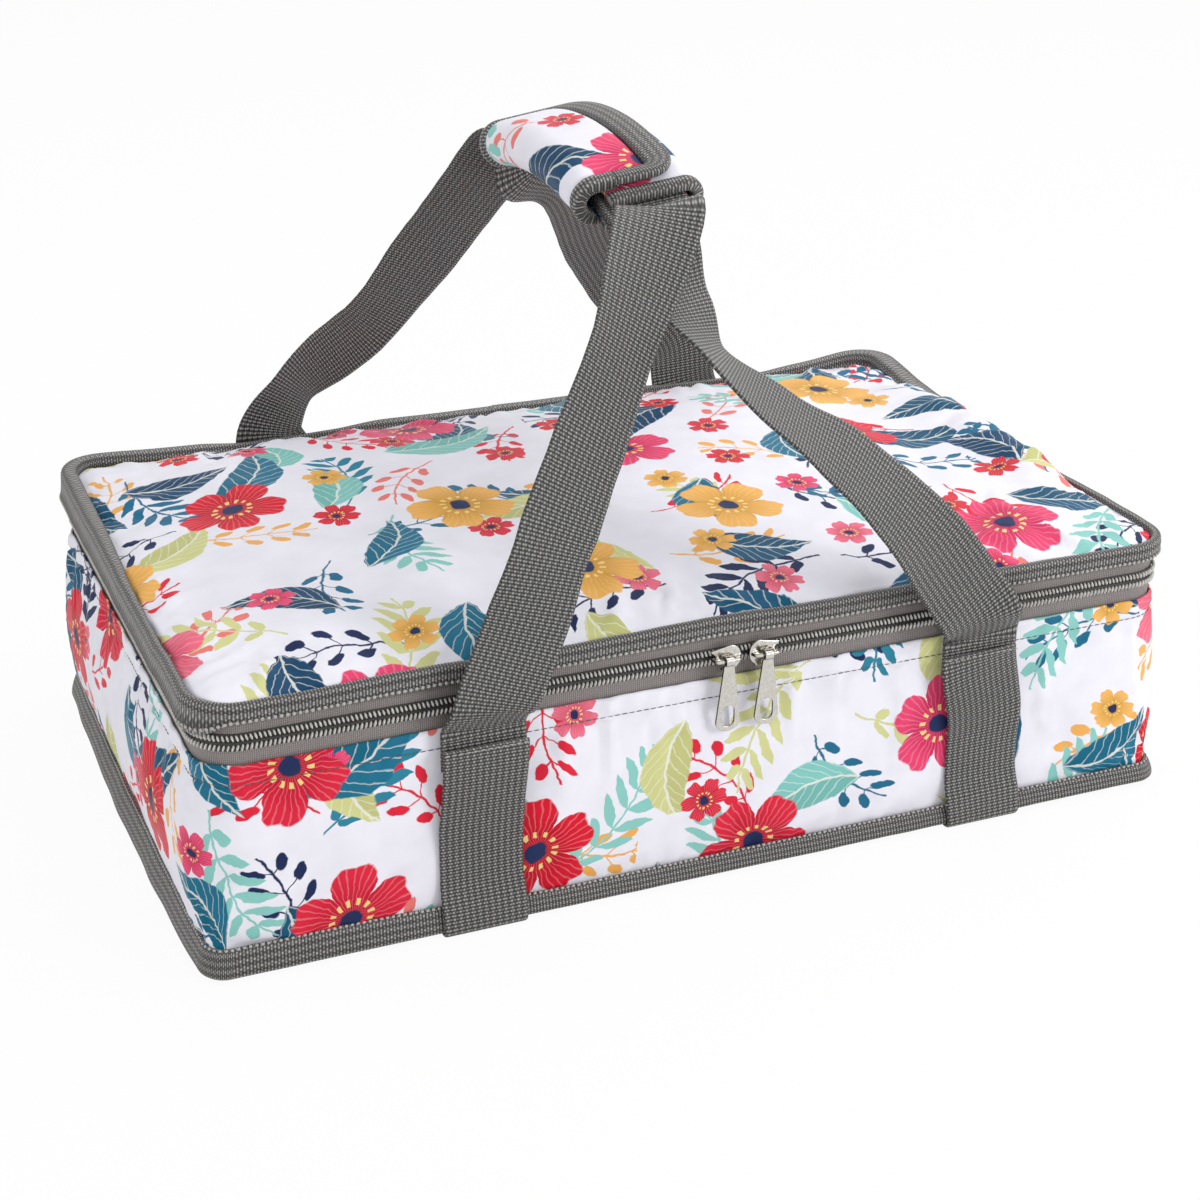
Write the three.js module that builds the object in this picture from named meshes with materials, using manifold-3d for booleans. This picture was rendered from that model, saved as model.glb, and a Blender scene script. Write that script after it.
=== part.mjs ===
import * as THREE from "three";
import { mergeVertices } from "three/addons/utils/BufferGeometryUtils.js";
import Module from "manifold-3d";

// An insulated casserole carrier: a soft box with a zipped lid, and two webbing loops
// that a padded hook-and-loop wrap holds together as one grip.
// Millimetres, +Z up, front towards -Y, origin on the floor below the middle of the bag.

// Soft box
const bodyLength = 408;
const bodyDepth = 256;
const cornerRadius = 18;
const stitchHeight = 80; // seam of side band, lining and zip tape, above the floor
const hemHeight = 8; // side band above that seam
const seam = 0.3; // clearance between pieces that are sewn together
const coverThickness = 1;
const boardThickness = 2;
const foamThickness = 5;
const liningThickness = 0.8;

// Bindings
const lipReach = 5; // how far the bottom binding stands out from the side band
const lipHeight = 11.6;
const lipThickness = 2.4;
const bindingReach = 2; // how far the lid binding stands out
const bindingThickness = 4.5;
const bindingHeight = 7.8;

// Zip
const tapeThickness = 0.7;
const tapeReveal = 5.2; // tape that shows between the hem and the lower coil
const coilHeight = 3.2;
const coilThickness = 2.2;
const chainGap = 1.6; // space between the coils, where the sliders' posts run
const upperReveal = 4.3; // tape that shows between the upper coil and the lid binding

// Lid
const lidEdgeThickness = 3; // foam pressed flat in the lid's seam
const lidCrown = 12; // how far the lid's middle rises above its edge

// Webbing
const strapWidth = 34;
const strapThickness = 1.6;
const leftStrapX = -97.5;
const rightStrapX = 115.5;
const strapLap = 12; // overlap of a handle's end and the sewn strap below it
const legStandOff = 10; // distance of the handles from the side band where they pass the zip
const runOffset = 1.8; // each handle's distance from the middle of the grip's pocket

// Grip
const gripX = -5;
const gripY = -7;
const gripHeight = 268; // middle of the grip's pocket at its highest point
const gripRoll = THREE.MathUtils.degToRad(8); // how far the grip leans over to the left
const gripLength = 104; // padded part, without its end bindings
const gripRise = 8; // how far the grip's middle arches above its ends
const padThickness = 3.2;
const pocketHeight = 7;
const flapInset = 5; // how much shorter than the pad the flap is, at each end
const flapReach = 3.5; // flap beyond the middle of the wrap, before its bound edge
const edgeWidth = 5.5; // width of the wrap's bindings
const edgeSwell = 0.5; // how much thicker a binding is than the pad, on each face
const patchThickness = 0.7; // hook patch and loop patch
const patchWidth = 16;
const patchInset = 11; // how much shorter than the flap the patches are, at each end

// Sliders and pulls
const leftSliderX = 2;
const rightSliderX = 18.6;
const plateThickness = 1.2;
const plateLength = 13.4;
const headRadius = 5.5;
const tailWidth = 7;
const slideClearance = 0.5; // between a slider's plates and the chain
const postWidth = 1;
const barSize = 1.4; // bridge's bar, square
const barHeight = 2.6; // middle of the bar above the slider's front plate
const bridgeOpening = 6.4;
const eyeBore = 1.25; // radius
const eyeWall = 0.8;
const eyeWidth = 3.6;
const pullLength = 30;
const pullThickness = 1.2;
const neckWidth = 4.2;
const tipWidth = 8.6;
const windowWidth = 4.4;
const windowLength = 9;

// Levels and offsets that follow. An offset is counted outwards from the side band's face.
const baseBottom = strapThickness + seam;
const coverTop = baseBottom + coverThickness;
const boardBottom = coverTop + seam;
const baseFoamBottom = boardBottom + boardThickness + seam;
const baseLiningBottom = baseFoamBottom + foamThickness + seam;
const wallBottom = coverTop + seam;
const hemTop = stitchHeight + hemHeight;
const lowerCoilBottom = hemTop + tapeReveal;
const lowerCoilTop = lowerCoilBottom + coilHeight;
const upperCoilBottom = lowerCoilTop + chainGap;
const upperCoilTop = upperCoilBottom + coilHeight;
const zipHeight = lowerCoilTop + chainGap / 2;
const bindingBottom = upperCoilTop + upperReveal;
const lidLiningBottom = bindingBottom + seam;
const lidFoamBottom = lidLiningBottom + liningThickness + seam;
const lidFoamEdge = lidFoamBottom + lidEdgeThickness;
const tapeOuter = -coverThickness - seam;
const tapeInner = tapeOuter - tapeThickness;
const foamOuter = -coverThickness - seam;
const liningOuter = foamOuter - foamThickness - seam;
const liningInner = liningOuter - liningThickness;
const coilBack = tapeOuter + seam;
const coilFront = coilBack + coilThickness;
const lidEdge = bindingReach - bindingThickness - seam;
const frontFace = bodyDepth / 2;

const wasm = await Module();
wasm.setup();
const carrier = new THREE.Group();

const finish = (color, roughness, metalness = 0) =>
  new THREE.MeshStandardMaterial({ color, roughness, metalness });
const fabric = finish(0xf1f0f4, 0.55);
const webbing = finish(0x6d6a67, 0.85);
const grosgrain = finish(0x75716e, 0.85);
const zipTape = finish(0x8a8481, 0.9);
const nylon = finish(0x3b3b3d, 0.4);
const nickel = finish(0xc8c3b8, 0.22, 1);
const foil = finish(0xc9ccd1, 0.3, 0.8);
const foam = finish(0xe8e8e2, 0.95);
const board = finish(0x2e2e30, 0.6);

function add(name, geometry, material, parent = carrier) {
  const mesh = new THREE.Mesh(geometry, material);
  mesh.name = name;
  parent.add(mesh);
  return mesh;
}

// A surface may be wound either way, so one with a negative volume is turned inside out.
function facingOut(positions, index) {
  const corner = (i) => new THREE.Vector3().fromArray(positions, 3 * i);
  let volume = 0;
  for (let i = 0; i < index.length; i += 3) {
    const [a, b, c] = index.slice(i, i + 3).map(corner);
    volume += a.dot(b.cross(c));
  }
  if (volume < 0) index.reverse();
  return new THREE.BufferGeometry()
    .setAttribute("position", new THREE.Float32BufferAttribute(positions, 3))
    .setIndex(index);
}

// Skins a row of sections. With a cap outline the row has two ends, and without one it closes.
function loft(sections, capOutline) {
  const count = sections[0].length;
  const index = [];
  const spans = capOutline ? sections.length - 1 : sections.length;
  for (let i = 0; i < spans; i++) {
    const here = i * count;
    const next = ((i + 1) % sections.length) * count;
    for (let j = 0; j < count; j++) {
      const k = (j + 1) % count;
      index.push(here + j, here + k, next + k, here + j, next + k, next + j);
    }
  }
  if (capOutline) {
    const last = (sections.length - 1) * count;
    for (const [a, b, c] of THREE.ShapeUtils.triangulateShape(capOutline, [])) {
      index.push(a, c, b);
      index.push(last + a, last + b, last + c);
    }
  }
  return facingOut(sections.flat().flatMap((p) => p.toArray()), index);
}

const points2 = (pairs) => pairs.map(([x, y]) => new THREE.Vector2(x, y));

function solid(geometry) {
  const bare = geometry.clone();
  bare.deleteAttribute("normal");
  bare.deleteAttribute("uv");
  const merged = mergeVertices(bare, 1e-4);
  const vertProperties = new Float32Array(merged.attributes.position.array);
  const triVerts = new Uint32Array(merged.index.array);
  return new wasm.Manifold(new wasm.Mesh({ numProp: 3, vertProperties, triVerts }));
}

function geometryOf(manifold) {
  const mesh = manifold.getMesh();
  return new THREE.BufferGeometry()
    .setAttribute("position", new THREE.BufferAttribute(mesh.vertProperties, 3))
    .setIndex(new THREE.BufferAttribute(mesh.triVerts, 1));
}

const joined = (...pieces) => pieces.map(solid).reduce((a, b) => a.add(b));

// The box's outline: front left, front right, back right and back left corner at an offset.
const cornerSteps = 6;
function corners(offset) {
  const x = bodyLength / 2 - cornerRadius;
  const y = bodyDepth / 2 - cornerRadius;
  const radius = cornerRadius + offset;
  const places = [[-x, -y], [x, -y], [x, y], [-x, y]];
  return places.map(([cx, cy], turn) => {
    const start = Math.PI + (turn * Math.PI) / 2;
    return Array.from({ length: cornerSteps + 1 }, (_, i) => {
      const angle = start + ((i / cornerSteps) * Math.PI) / 2;
      return new THREE.Vector2(cx + radius * Math.cos(angle), cy + radius * Math.sin(angle));
    });
  });
}

const wholeOutline = (offset) => corners(offset).flat();

// The zip's stretch of the outline: both ends and the front.
function zipOutline(offset) {
  const [frontLeft, frontRight] = corners(offset);
  const x = bodyLength / 2 + offset;
  const y = bodyDepth / 2 - cornerRadius - seam;
  return [new THREE.Vector2(-x, y), ...frontLeft, ...frontRight, new THREE.Vector2(x, y)];
}

// The hinge's stretch of the outline: the back with its two corners.
const hingeOutline = (offset) => corners(offset).slice(2).flat();

// Sweeps a profile of [offset, height] pairs along a stretch of the outline.
function band(profile, outline) {
  const loops = profile.map(([offset, z]) =>
    outline(offset).map((p) => new THREE.Vector3(p.x, p.y, z)),
  );
  const sections = loops[0].map((_, i) => loops.map((loop) => loop[i]));
  return loft(sections, outline === wholeOutline ? null : points2(profile));
}

const oblong = (inner, outer, bottom, top) => [
  [inner, bottom],
  [outer, bottom],
  [outer, top],
  [inner, top],
];

function plate(offset, bottom, thickness) {
  const shape = new THREE.Shape(wholeOutline(offset));
  const geometry = new THREE.ExtrudeGeometry(shape, { depth: thickness, bevelEnabled: false });
  return geometry.translate(0, 0, bottom);
}

// A crowned panel: rings of the outline, drawn in by share, from its underside to its top.
const crownShares = [1, 0.94, 0.84, 0.68, 0.45, 0.2];
const crownHeight = (share) => lidCrown * (1 - share ** 2.4);
const edgeSpans = [14, 9]; // straight stretches along X and along Y

function crownOutline(offset) {
  const arcs = corners(offset);
  return arcs.flatMap((arc, i) => {
    const from = arc[cornerSteps];
    const to = arcs[(i + 1) % arcs.length][0];
    const spans = edgeSpans[i % 2];
    const between = Array.from({ length: spans - 1 }, (_, k) =>
      from.clone().lerp(to, (k + 1) / spans),
    );
    return [...arc, ...between];
  });
}

function crowned(offset, underside, topside) {
  const edge = crownOutline(offset);
  const rings = [
    ...crownShares.toReversed().map((share) => [share, underside(share)]),
    ...crownShares.map((share) => [share, topside(share)]),
  ];
  const sections = rings.map(([share, z]) =>
    edge.map((p) => new THREE.Vector3(p.x * share, p.y * share, z)),
  );
  return loft(sections, edge);
}

// Skins a flat webbing strip along a row of points. Its width lies along X, square to its run,
// turned about the run by a twist at each point.
function ribbon(path, twists = path.map(() => 0)) {
  const sections = path.map((point, i) => {
    const before = path[Math.max(i - 1, 0)];
    const after = path[Math.min(i + 1, path.length - 1)];
    const run = after.clone().sub(before).normalize();
    const across = new THREE.Vector3(1, 0, 0);
    across.addScaledVector(run, -across.dot(run)).normalize();
    across.applyAxisAngle(run, twists[i]);
    const face = run.clone().cross(across);
    return stripSection.map((c) =>
      point.clone().addScaledVector(across, c.x).addScaledVector(face, c.y),
    );
  });
  return loft(sections, stripSection);
}
const stripSection = points2(
  oblong(-strapWidth / 2, strapWidth / 2, -strapThickness / 2, strapThickness / 2),
);

// Base of the bag
add("base_cover", plate(0, baseBottom, coverThickness), fabric);
add("base_board", plate(liningOuter, boardBottom, boardThickness), board);
add("base_foam", plate(liningOuter, baseFoamBottom, foamThickness), foam);
add("base_lining", plate(liningInner - seam, baseLiningBottom, liningThickness), foil);

// Side band, with one foam board in each straight wall
add("side_cover", band(oblong(-coverThickness, 0, wallBottom, hemTop), wholeOutline), fabric);
const wallHeight = stitchHeight - wallBottom;
const wallMiddle = foamOuter - foamThickness / 2;
function foamWall(name, length, angle, distance) {
  const wall = add(name, new THREE.BoxGeometry(length, foamThickness, wallHeight), foam);
  wall.rotation.z = angle;
  wall.position.set(distance * Math.sin(angle), -distance * Math.cos(angle), wallBottom + wallHeight / 2);
}
const longWall = bodyLength - 2 * cornerRadius;
const shortWall = bodyDepth - 2 * cornerRadius;
foamWall("front_foam", longWall, 0, bodyDepth / 2 + wallMiddle);
foamWall("right_foam", shortWall, Math.PI / 2, bodyLength / 2 + wallMiddle);
foamWall("back_foam", longWall, Math.PI, bodyDepth / 2 + wallMiddle);
foamWall("left_foam", shortWall, -Math.PI / 2, bodyLength / 2 + wallMiddle);

// The lining turns out over the foam's top edge to the zip tape.
const rimBottom = stitchHeight + seam;
const rimTop = rimBottom + liningThickness;
const sideLining = [
  [liningInner, baseLiningBottom],
  [liningOuter, baseLiningBottom],
  [liningOuter, rimBottom],
  [tapeInner - seam, rimBottom],
  [tapeInner - seam, rimTop],
  [liningInner, rimTop],
];
add("side_lining", band(sideLining, wholeOutline), foil);

// The bottom binding closes the base seam and flares out as a lip.
const lipTop = baseBottom + lipHeight;
const lip = [
  [seam, baseBottom + lipHeight / 2],
  [lipReach - lipThickness, baseBottom],
  [lipReach - lipThickness / 2, baseBottom],
  [lipReach, baseBottom + lipThickness * 0.8],
  [seam + lipThickness, lipTop - lipThickness / 2],
  [seam + lipThickness / 2, lipTop],
  [seam, lipTop],
];
add("bottom_binding", band(lip, wholeOutline), grosgrain);

// Zip: a tape and a coil on the box, a tape and a coil on the lid
const tapeEdge = coilHeight / 4; // the coil stands past its tape by this much
const lowerTape = oblong(tapeInner, tapeOuter, rimBottom, lowerCoilTop - tapeEdge);
const upperTape = oblong(tapeInner, tapeOuter, upperCoilBottom + tapeEdge, bindingBottom - seam);
add("lower_zip_tape", band(lowerTape, zipOutline), zipTape);
add("upper_zip_tape", band(upperTape, zipOutline), zipTape);
const lowerCoil = oblong(coilBack, coilFront, lowerCoilBottom, lowerCoilTop);
const upperCoil = oblong(coilBack, coilFront, upperCoilBottom, upperCoilTop);
add("lower_zip_coil", band(lowerCoil, zipOutline), nylon);
add("upper_zip_coil", band(upperCoil, zipOutline), nylon);

// The back wall's fabric runs up to the lid, which folds along its top edge.
const hingeStrip = oblong(tapeInner, tapeOuter, rimBottom, bindingBottom - seam);
add("back_hinge_strip", band(hingeStrip, hingeOutline), fabric);

// Lid
const bindingInner = bindingReach - bindingThickness;
const bindingTop = bindingBottom + bindingHeight;
const bindingRound = bindingHeight / 6;
const lidBinding = [
  [bindingInner, bindingBottom],
  [bindingReach - bindingRound, bindingBottom],
  [bindingReach, bindingBottom + bindingRound],
  [bindingReach, bindingTop - bindingRound],
  [bindingReach - bindingRound, bindingTop],
  [bindingInner + bindingRound, bindingTop],
  [bindingInner, bindingTop - bindingRound],
];
add("lid_binding", band(lidBinding, wholeOutline), grosgrain);
add("lid_lining", plate(lidEdge, lidLiningBottom, liningThickness), foil);
const foamTop = (share) => lidFoamEdge + crownHeight(share);
add("lid_foam", crowned(lidEdge, () => lidFoamBottom, foamTop), foam);
const coverUnder = (share) => foamTop(share) + seam;
const coverOver = (share) => coverUnder(share) + coverThickness;
add("lid_cover", crowned(lidEdge, coverUnder, coverOver), fabric);

// Sewn straps: down the front, out round the bottom binding, under the base and up the back
const strapFace = frontFace + seam + strapThickness / 2;
const strapTop = stitchHeight + strapLap / 3;
function baseStrap(name, x) {
  const at = (y, z) => new THREE.Vector3(x, -y, z);
  const flare = frontFace + lipReach + seam + strapThickness / 2;
  const shoulder = strapFace + lipThickness + 2 * seam;
  const bendTop = lipTop + lipHeight;
  const lipRound = baseBottom + lipThickness;
  const outward = new THREE.QuadraticBezierCurve3(
    at(strapFace, bendTop),
    at(strapFace, lipTop + lipHeight / 2),
    at(shoulder, lipTop),
  );
  const under = new THREE.QuadraticBezierCurve3(
    at(flare, lipRound),
    at(flare, strapThickness / 2),
    at(flare - lipThickness - strapThickness, strapThickness / 2),
  );
  const half = [at(strapFace, strapTop), ...outward.getPoints(5), ...under.getPoints(5)];
  const otherHalf = half.map((p) => new THREE.Vector3(p.x, -p.y, p.z));
  add(name, ribbon([...half, ...otherHalf.toReversed()]), webbing);
}
baseStrap("left_base_strap", leftStrapX);
baseStrap("right_base_strap", rightStrapX);

// The grip's middle line is an arc in the YZ plane, and a grip section is drawn in x and out.
const gripRadius = ((gripLength / 2) ** 2 + gripRise ** 2) / (2 * gripRise);
const gripAngle = (length) => Math.asin(length / 2 / gripRadius);
function onGrip(x, out, angle) {
  const section = new THREE.Vector2(x, out).rotateAround(new THREE.Vector2(), gripRoll);
  const reach = gripRadius + section.y;
  const along = reach * Math.sin(angle);
  const up = reach * Math.cos(angle) - gripRadius;
  return new THREE.Vector3(gripX + section.x, gripY + along, gripHeight + up);
}

const gripSteps = 10;
function alongGrip(outline, from, to) {
  const sections = Array.from({ length: gripSteps + 1 }, (_, i) => {
    const angle = from + ((to - from) * i) / gripSteps;
    return outline.map((p) => onGrip(p.x, p.y, angle));
  });
  return loft(sections, outline);
}

// Gives a line in the section a thickness, as a closed outline that runs anticlockwise.
function thickened(line, thickness) {
  const side = (distance) =>
    line.map((p, i) => {
      const before = line[Math.max(i - 1, 0)];
      const after = line[Math.min(i + 1, line.length - 1)];
      const run = after.clone().sub(before).normalize();
      return new THREE.Vector2(p.x + run.y * distance, p.y - run.x * distance);
    });
  return [...side(thickness / 2), ...side(-thickness / 2).toReversed()];
}

function arc2(cx, cy, radius, from, to, steps = 10) {
  return Array.from({ length: steps + 1 }, (_, i) => {
    const angle = from + ((to - from) * i) / steps;
    return new THREE.Vector2(cx + radius * Math.cos(angle), cy + radius * Math.sin(angle));
  });
}

// Handles. Each leg leaves its stitches, passes the zip, leans in over the lid and joins the grip.
// A leg's bends are [share of the rise, share of the way across, twist in degrees] from its
// stitches to the grip. The twist turns the webbing's outer face towards its own end of the bag.
const frontLeftBends = [
  [0.1, 0.022, 0],
  [0.26, 0.15, 0],
  [0.45, 0.292, -11],
  [0.6, 0.457, -20],
  [0.76, 0.666, -30],
];
const backLeftBends = [
  [0.1, -0.03, 4],
  [0.17, -0.085, 12],
  [0.3, 0.06, 32],
  [0.45, 0.452, 6],
  [0.7, 0.744, -10],
  [0.9, 0.895, -12],
];
const frontRightBends = [
  [0.1, 0.034, 0],
  [0.18, 0.109, 6],
  [0.35, 0.294, 17],
  [0.51, 0.508, 26],
  [0.62, 0.702, 37],
  [0.74, 0.885, 48],
  [0.84, 0.946, 26],
];
const backRightBends = [
  [0.16, 0.07, 0],
  [0.31, 0.105, 0],
  [0.48, 0.36, 0],
  [0.65, 0.56, 0],
  [0.87, 0.79, 0],
];
const leanStart = 0.36; // share of the rise where a leg starts to lean in
const legSpread = 5.5; // how many times farther apart the handles run below the grip
const exitShare = 1.12; // where the handles part, as a share of the way to the grip's end
const padEnd = gripAngle(gripLength + 4 * edgeWidth);

function handleStrap(name, x, out, frontBends, backBends) {
  const lapFace = strapFace + strapThickness + 3 * seam;
  const passFace = frontFace + legStandOff;
  const stop = (place, twist = 0) => ({ place, twist });
  const leg = (bends, side) => {
    const end = onGrip(0, out, side * padEnd);
    const bent = bends.map(([rise, across, twist]) => {
      const lean = (Math.max(rise - leanStart, 0) / (1 - leanStart)) ** 1.5;
      const place = new THREE.Vector3(
        THREE.MathUtils.lerp(x, end.x, across),
        THREE.MathUtils.lerp(side * passFace, end.y, lean) + side * legSpread * out * Math.sqrt(lean),
        THREE.MathUtils.lerp(stitchHeight, end.z, rise),
      );
      return stop(place, THREE.MathUtils.degToRad(twist) * Math.sign(x));
    });
    const lap = [1, 0.5, 0].map((share) =>
      stop(new THREE.Vector3(x, side * lapFace, strapTop - share * strapLap)),
    );
    const parting = stop(new THREE.Vector3(x, side * (lapFace + seam), strapTop + strapLap / 3));
    return [...lap, parting, ...bent];
  };
  const shares = [-exitShare, -1, -0.9, -0.75, -0.5, 0, 0.5, 0.75, 0.9, 1, exitShare];
  const stops = [
    ...leg(frontBends, -1),
    ...shares.map((share) => {
      const spread = Math.abs(share) > 1 ? legSpread : 1;
      return stop(onGrip(0, spread * out, share * padEnd), -gripRoll);
    }),
    ...leg(backBends, 1).toReversed(),
  ];
  const route = new THREE.CatmullRomCurve3(stops.map(({ place }) => place));
  const steps = 4; // between two stops
  const path = route.getPoints(steps * (stops.length - 1));
  const twists = path.map((_, i) => {
    const from = stops[Math.floor(i / steps)].twist;
    const to = stops[Math.ceil(i / steps)].twist;
    return THREE.MathUtils.lerp(from, to, THREE.MathUtils.smoothstep((i % steps) / steps, 0, 1));
  });
  add(name, ribbon(path, twists), webbing);
}
handleStrap("left_handle_strap", leftStrapX, runOffset, frontLeftBends, backLeftBends);
handleStrap("right_handle_strap", rightStrapX, -runOffset, frontRightBends, backRightBends);

// Wrap: a pad under, beside and over the webbing, and a flap that closes over it from the left
const halfPocket = strapWidth / 2;
const padMiddle = (pocketHeight + padThickness) / 2;
const padOuter = pocketHeight / 2 + padThickness;
const padLine = [
  new THREE.Vector2(-halfPocket + padThickness, padMiddle),
  ...arc2(halfPocket, 0, padMiddle, Math.PI / 2, -Math.PI / 2),
  new THREE.Vector2(-halfPocket, -padMiddle),
].toReversed();
const padHalf = gripAngle(gripLength);
const padFull = gripAngle(gripLength + 2 * (edgeWidth + seam));
const padEdgeStart = gripAngle(gripLength + 2 * seam);
const boundThickness = padThickness + 2 * edgeSwell;
add("grip_pad", alongGrip(thickened(padLine, padThickness), -padHalf, padHalf), fabric);
const padRim = thickened(padLine, boundThickness);
add("grip_pad_front_binding", alongGrip(padRim, -padFull, -padEdgeStart), grosgrain);
add("grip_pad_back_binding", alongGrip(padRim, padEdgeStart, padFull), grosgrain);

const loopBottom = padOuter + seam;
const hookBottom = loopBottom + patchThickness + seam;
const flapBottom = hookBottom + patchThickness + seam;
const flapMiddle = flapBottom + padThickness / 2;
const foldRadius = (flapMiddle + padMiddle) / 2;
const foldX = -halfPocket - seam;
const foldLine = arc2(foldX, flapMiddle - foldRadius, foldRadius, Math.PI / 2, (Math.PI * 3) / 2);
const flapLine = [new THREE.Vector2(flapReach, flapMiddle), ...foldLine];
const boundLine = [new THREE.Vector2(flapReach + seam + edgeWidth, flapMiddle), ...foldLine];
const flapLength = gripLength - 2 * flapInset;
const flapHalf = gripAngle(flapLength);
const flapFull = gripAngle(flapLength + 2 * (edgeWidth + seam));
const flapRimStart = gripAngle(flapLength + 2 * seam);
add("grip_flap", alongGrip(thickened(flapLine, padThickness), -flapHalf, flapHalf), fabric);
const flapRim = thickened(boundLine, boundThickness);
const sideRim = points2(
  oblong(
    flapReach + seam,
    flapReach + seam + edgeWidth,
    flapMiddle - boundThickness / 2,
    flapMiddle + boundThickness / 2,
  ),
);
const flapBinding = joined(
  alongGrip(flapRim, -flapFull, -flapRimStart),
  alongGrip(flapRim, flapRimStart, flapFull),
  alongGrip(sideRim, -flapFull, flapFull),
);
add("grip_flap_binding", geometryOf(flapBinding), grosgrain);

const patchHalf = gripAngle(flapLength - 2 * patchInset);
const patchRight = flapReach - seam;
const patch = (bottom) =>
  alongGrip(
    points2(oblong(patchRight - patchWidth, patchRight, bottom, bottom + patchThickness)),
    -patchHalf,
    patchHalf,
  );
add("loop_patch", patch(loopBottom), nylon);
add("hook_patch", patch(hookBottom), nylon);

// Sliders and pulls, drawn with x along the zip, y up and z out from the bag
const plateBack = coilFront + slideClearance;
const plateFront = plateBack + plateThickness;
const barMiddle = plateFront + barHeight;
const headX = plateLength / 2 - headRadius;
const tailX = -plateLength / 2;

function pearShape() {
  const shape = new THREE.Shape();
  shape.moveTo(tailX, -tailWidth / 2);
  shape.absarc(headX, 0, headRadius, -Math.PI * 0.42, Math.PI * 0.42, false);
  shape.lineTo(tailX, tailWidth / 2);
  shape.closePath();
  return shape;
}

function extruded(shape, depth, bottom, curveSegments = 10) {
  const options = { depth, bevelEnabled: false, curveSegments };
  return new THREE.ExtrudeGeometry(shape, options).translate(0, 0, bottom);
}

function bridge() {
  const half = bridgeOpening / 2;
  const foot = half + 2 * barSize;
  const inner = barMiddle - barSize / 2;
  const outer = barMiddle + barSize / 2;
  const shape = new THREE.Shape();
  shape.moveTo(-foot, plateBack);
  shape.lineTo(-half, plateBack);
  shape.lineTo(-half, inner);
  shape.lineTo(half, inner);
  shape.lineTo(half, plateBack);
  shape.lineTo(foot, plateBack);
  shape.lineTo(foot, plateFront);
  shape.quadraticCurveTo(foot, outer, half, outer);
  shape.lineTo(-half, outer);
  shape.quadraticCurveTo(-foot, outer, -foot, plateFront);
  shape.closePath();
  const arch = new THREE.ExtrudeGeometry(shape, {
    depth: barSize,
    bevelEnabled: false,
    curveSegments: 5,
  });
  return arch.rotateX(Math.PI / 2).translate(0, barSize / 2, 0);
}

function sliderBody() {
  const pear = pearShape();
  const backFront = tapeInner - slideClearance;
  const post = new THREE.BoxGeometry(headRadius, postWidth, plateFront - backFront + plateThickness);
  post.translate(headX, 0, (plateFront + backFront - plateThickness) / 2);
  const flangeY = -chainGap / 2 - coilHeight - slideClearance;
  const flangeDepth = coilThickness / 2 + plateThickness;
  const flange = new THREE.BoxGeometry(headRadius, plateThickness, flangeDepth);
  flange.translate(headX, flangeY - plateThickness / 2, plateFront - flangeDepth / 2);
  return joined(
    extruded(pear, plateThickness, plateBack),
    extruded(pear, plateThickness, backFront - plateThickness),
    post,
    flange,
    bridge(),
  );
}

function pullTab() {
  const tipRadius = tipWidth / 2;
  const tipY = tipRadius - pullLength;
  const tab = new THREE.Shape();
  tab.moveTo(neckWidth / 2, -eyeBore);
  tab.lineTo(-neckWidth / 2, -eyeBore);
  tab.lineTo(-tipRadius, tipY);
  tab.absarc(0, tipY, tipRadius, Math.PI, Math.PI * 2, false);
  tab.closePath();
  const windowRadius = windowWidth / 2;
  const opening = new THREE.Path();
  opening.absarc(0, tipY, windowRadius, Math.PI, Math.PI * 2, false);
  opening.absarc(0, tipY + windowLength - windowWidth, windowRadius, 0, Math.PI, false);
  opening.closePath();
  tab.holes.push(opening);
  const ring = new THREE.Shape().absarc(0, 0, eyeBore + eyeWall, 0, Math.PI * 2, false);
  const bore = new THREE.Shape().absarc(0, 0, eyeBore, 0, Math.PI * 2, false);
  const turned = (shape, length) =>
    extruded(shape, length, -length / 2, 8).rotateY(Math.PI / 2);
  return joined(extruded(tab, pullThickness, -pullThickness / 2), turned(ring, eyeWidth)).subtract(
    solid(turned(bore, 2 * eyeWidth)),
  );
}

// A slider's rounded head points towards the other slider, so the right one is mirrored.
function slider(side, x, headSide) {
  const group = new THREE.Group();
  group.position.set(x, -frontFace, zipHeight);
  group.rotation.x = Math.PI / 2;
  carrier.add(group);
  const body = add(`${side}_slider`, geometryOf(sliderBody()), nickel, group);
  body.scale.x = headSide;
  const pull = add(`${side}_pull`, geometryOf(pullTab()), nickel, group);
  pull.position.z = barMiddle;
}
slider("left", leftSliderX, 1);
slider("right", rightSliderX, -1);

export default carrier;
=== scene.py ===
"""The looks of an insulated casserole carrier: printed cloth, webbing, zip and padded grip."""

import math
from functools import partial

import bmesh
import bpy
import numpy as np
from mathutils import Matrix, Vector


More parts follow.
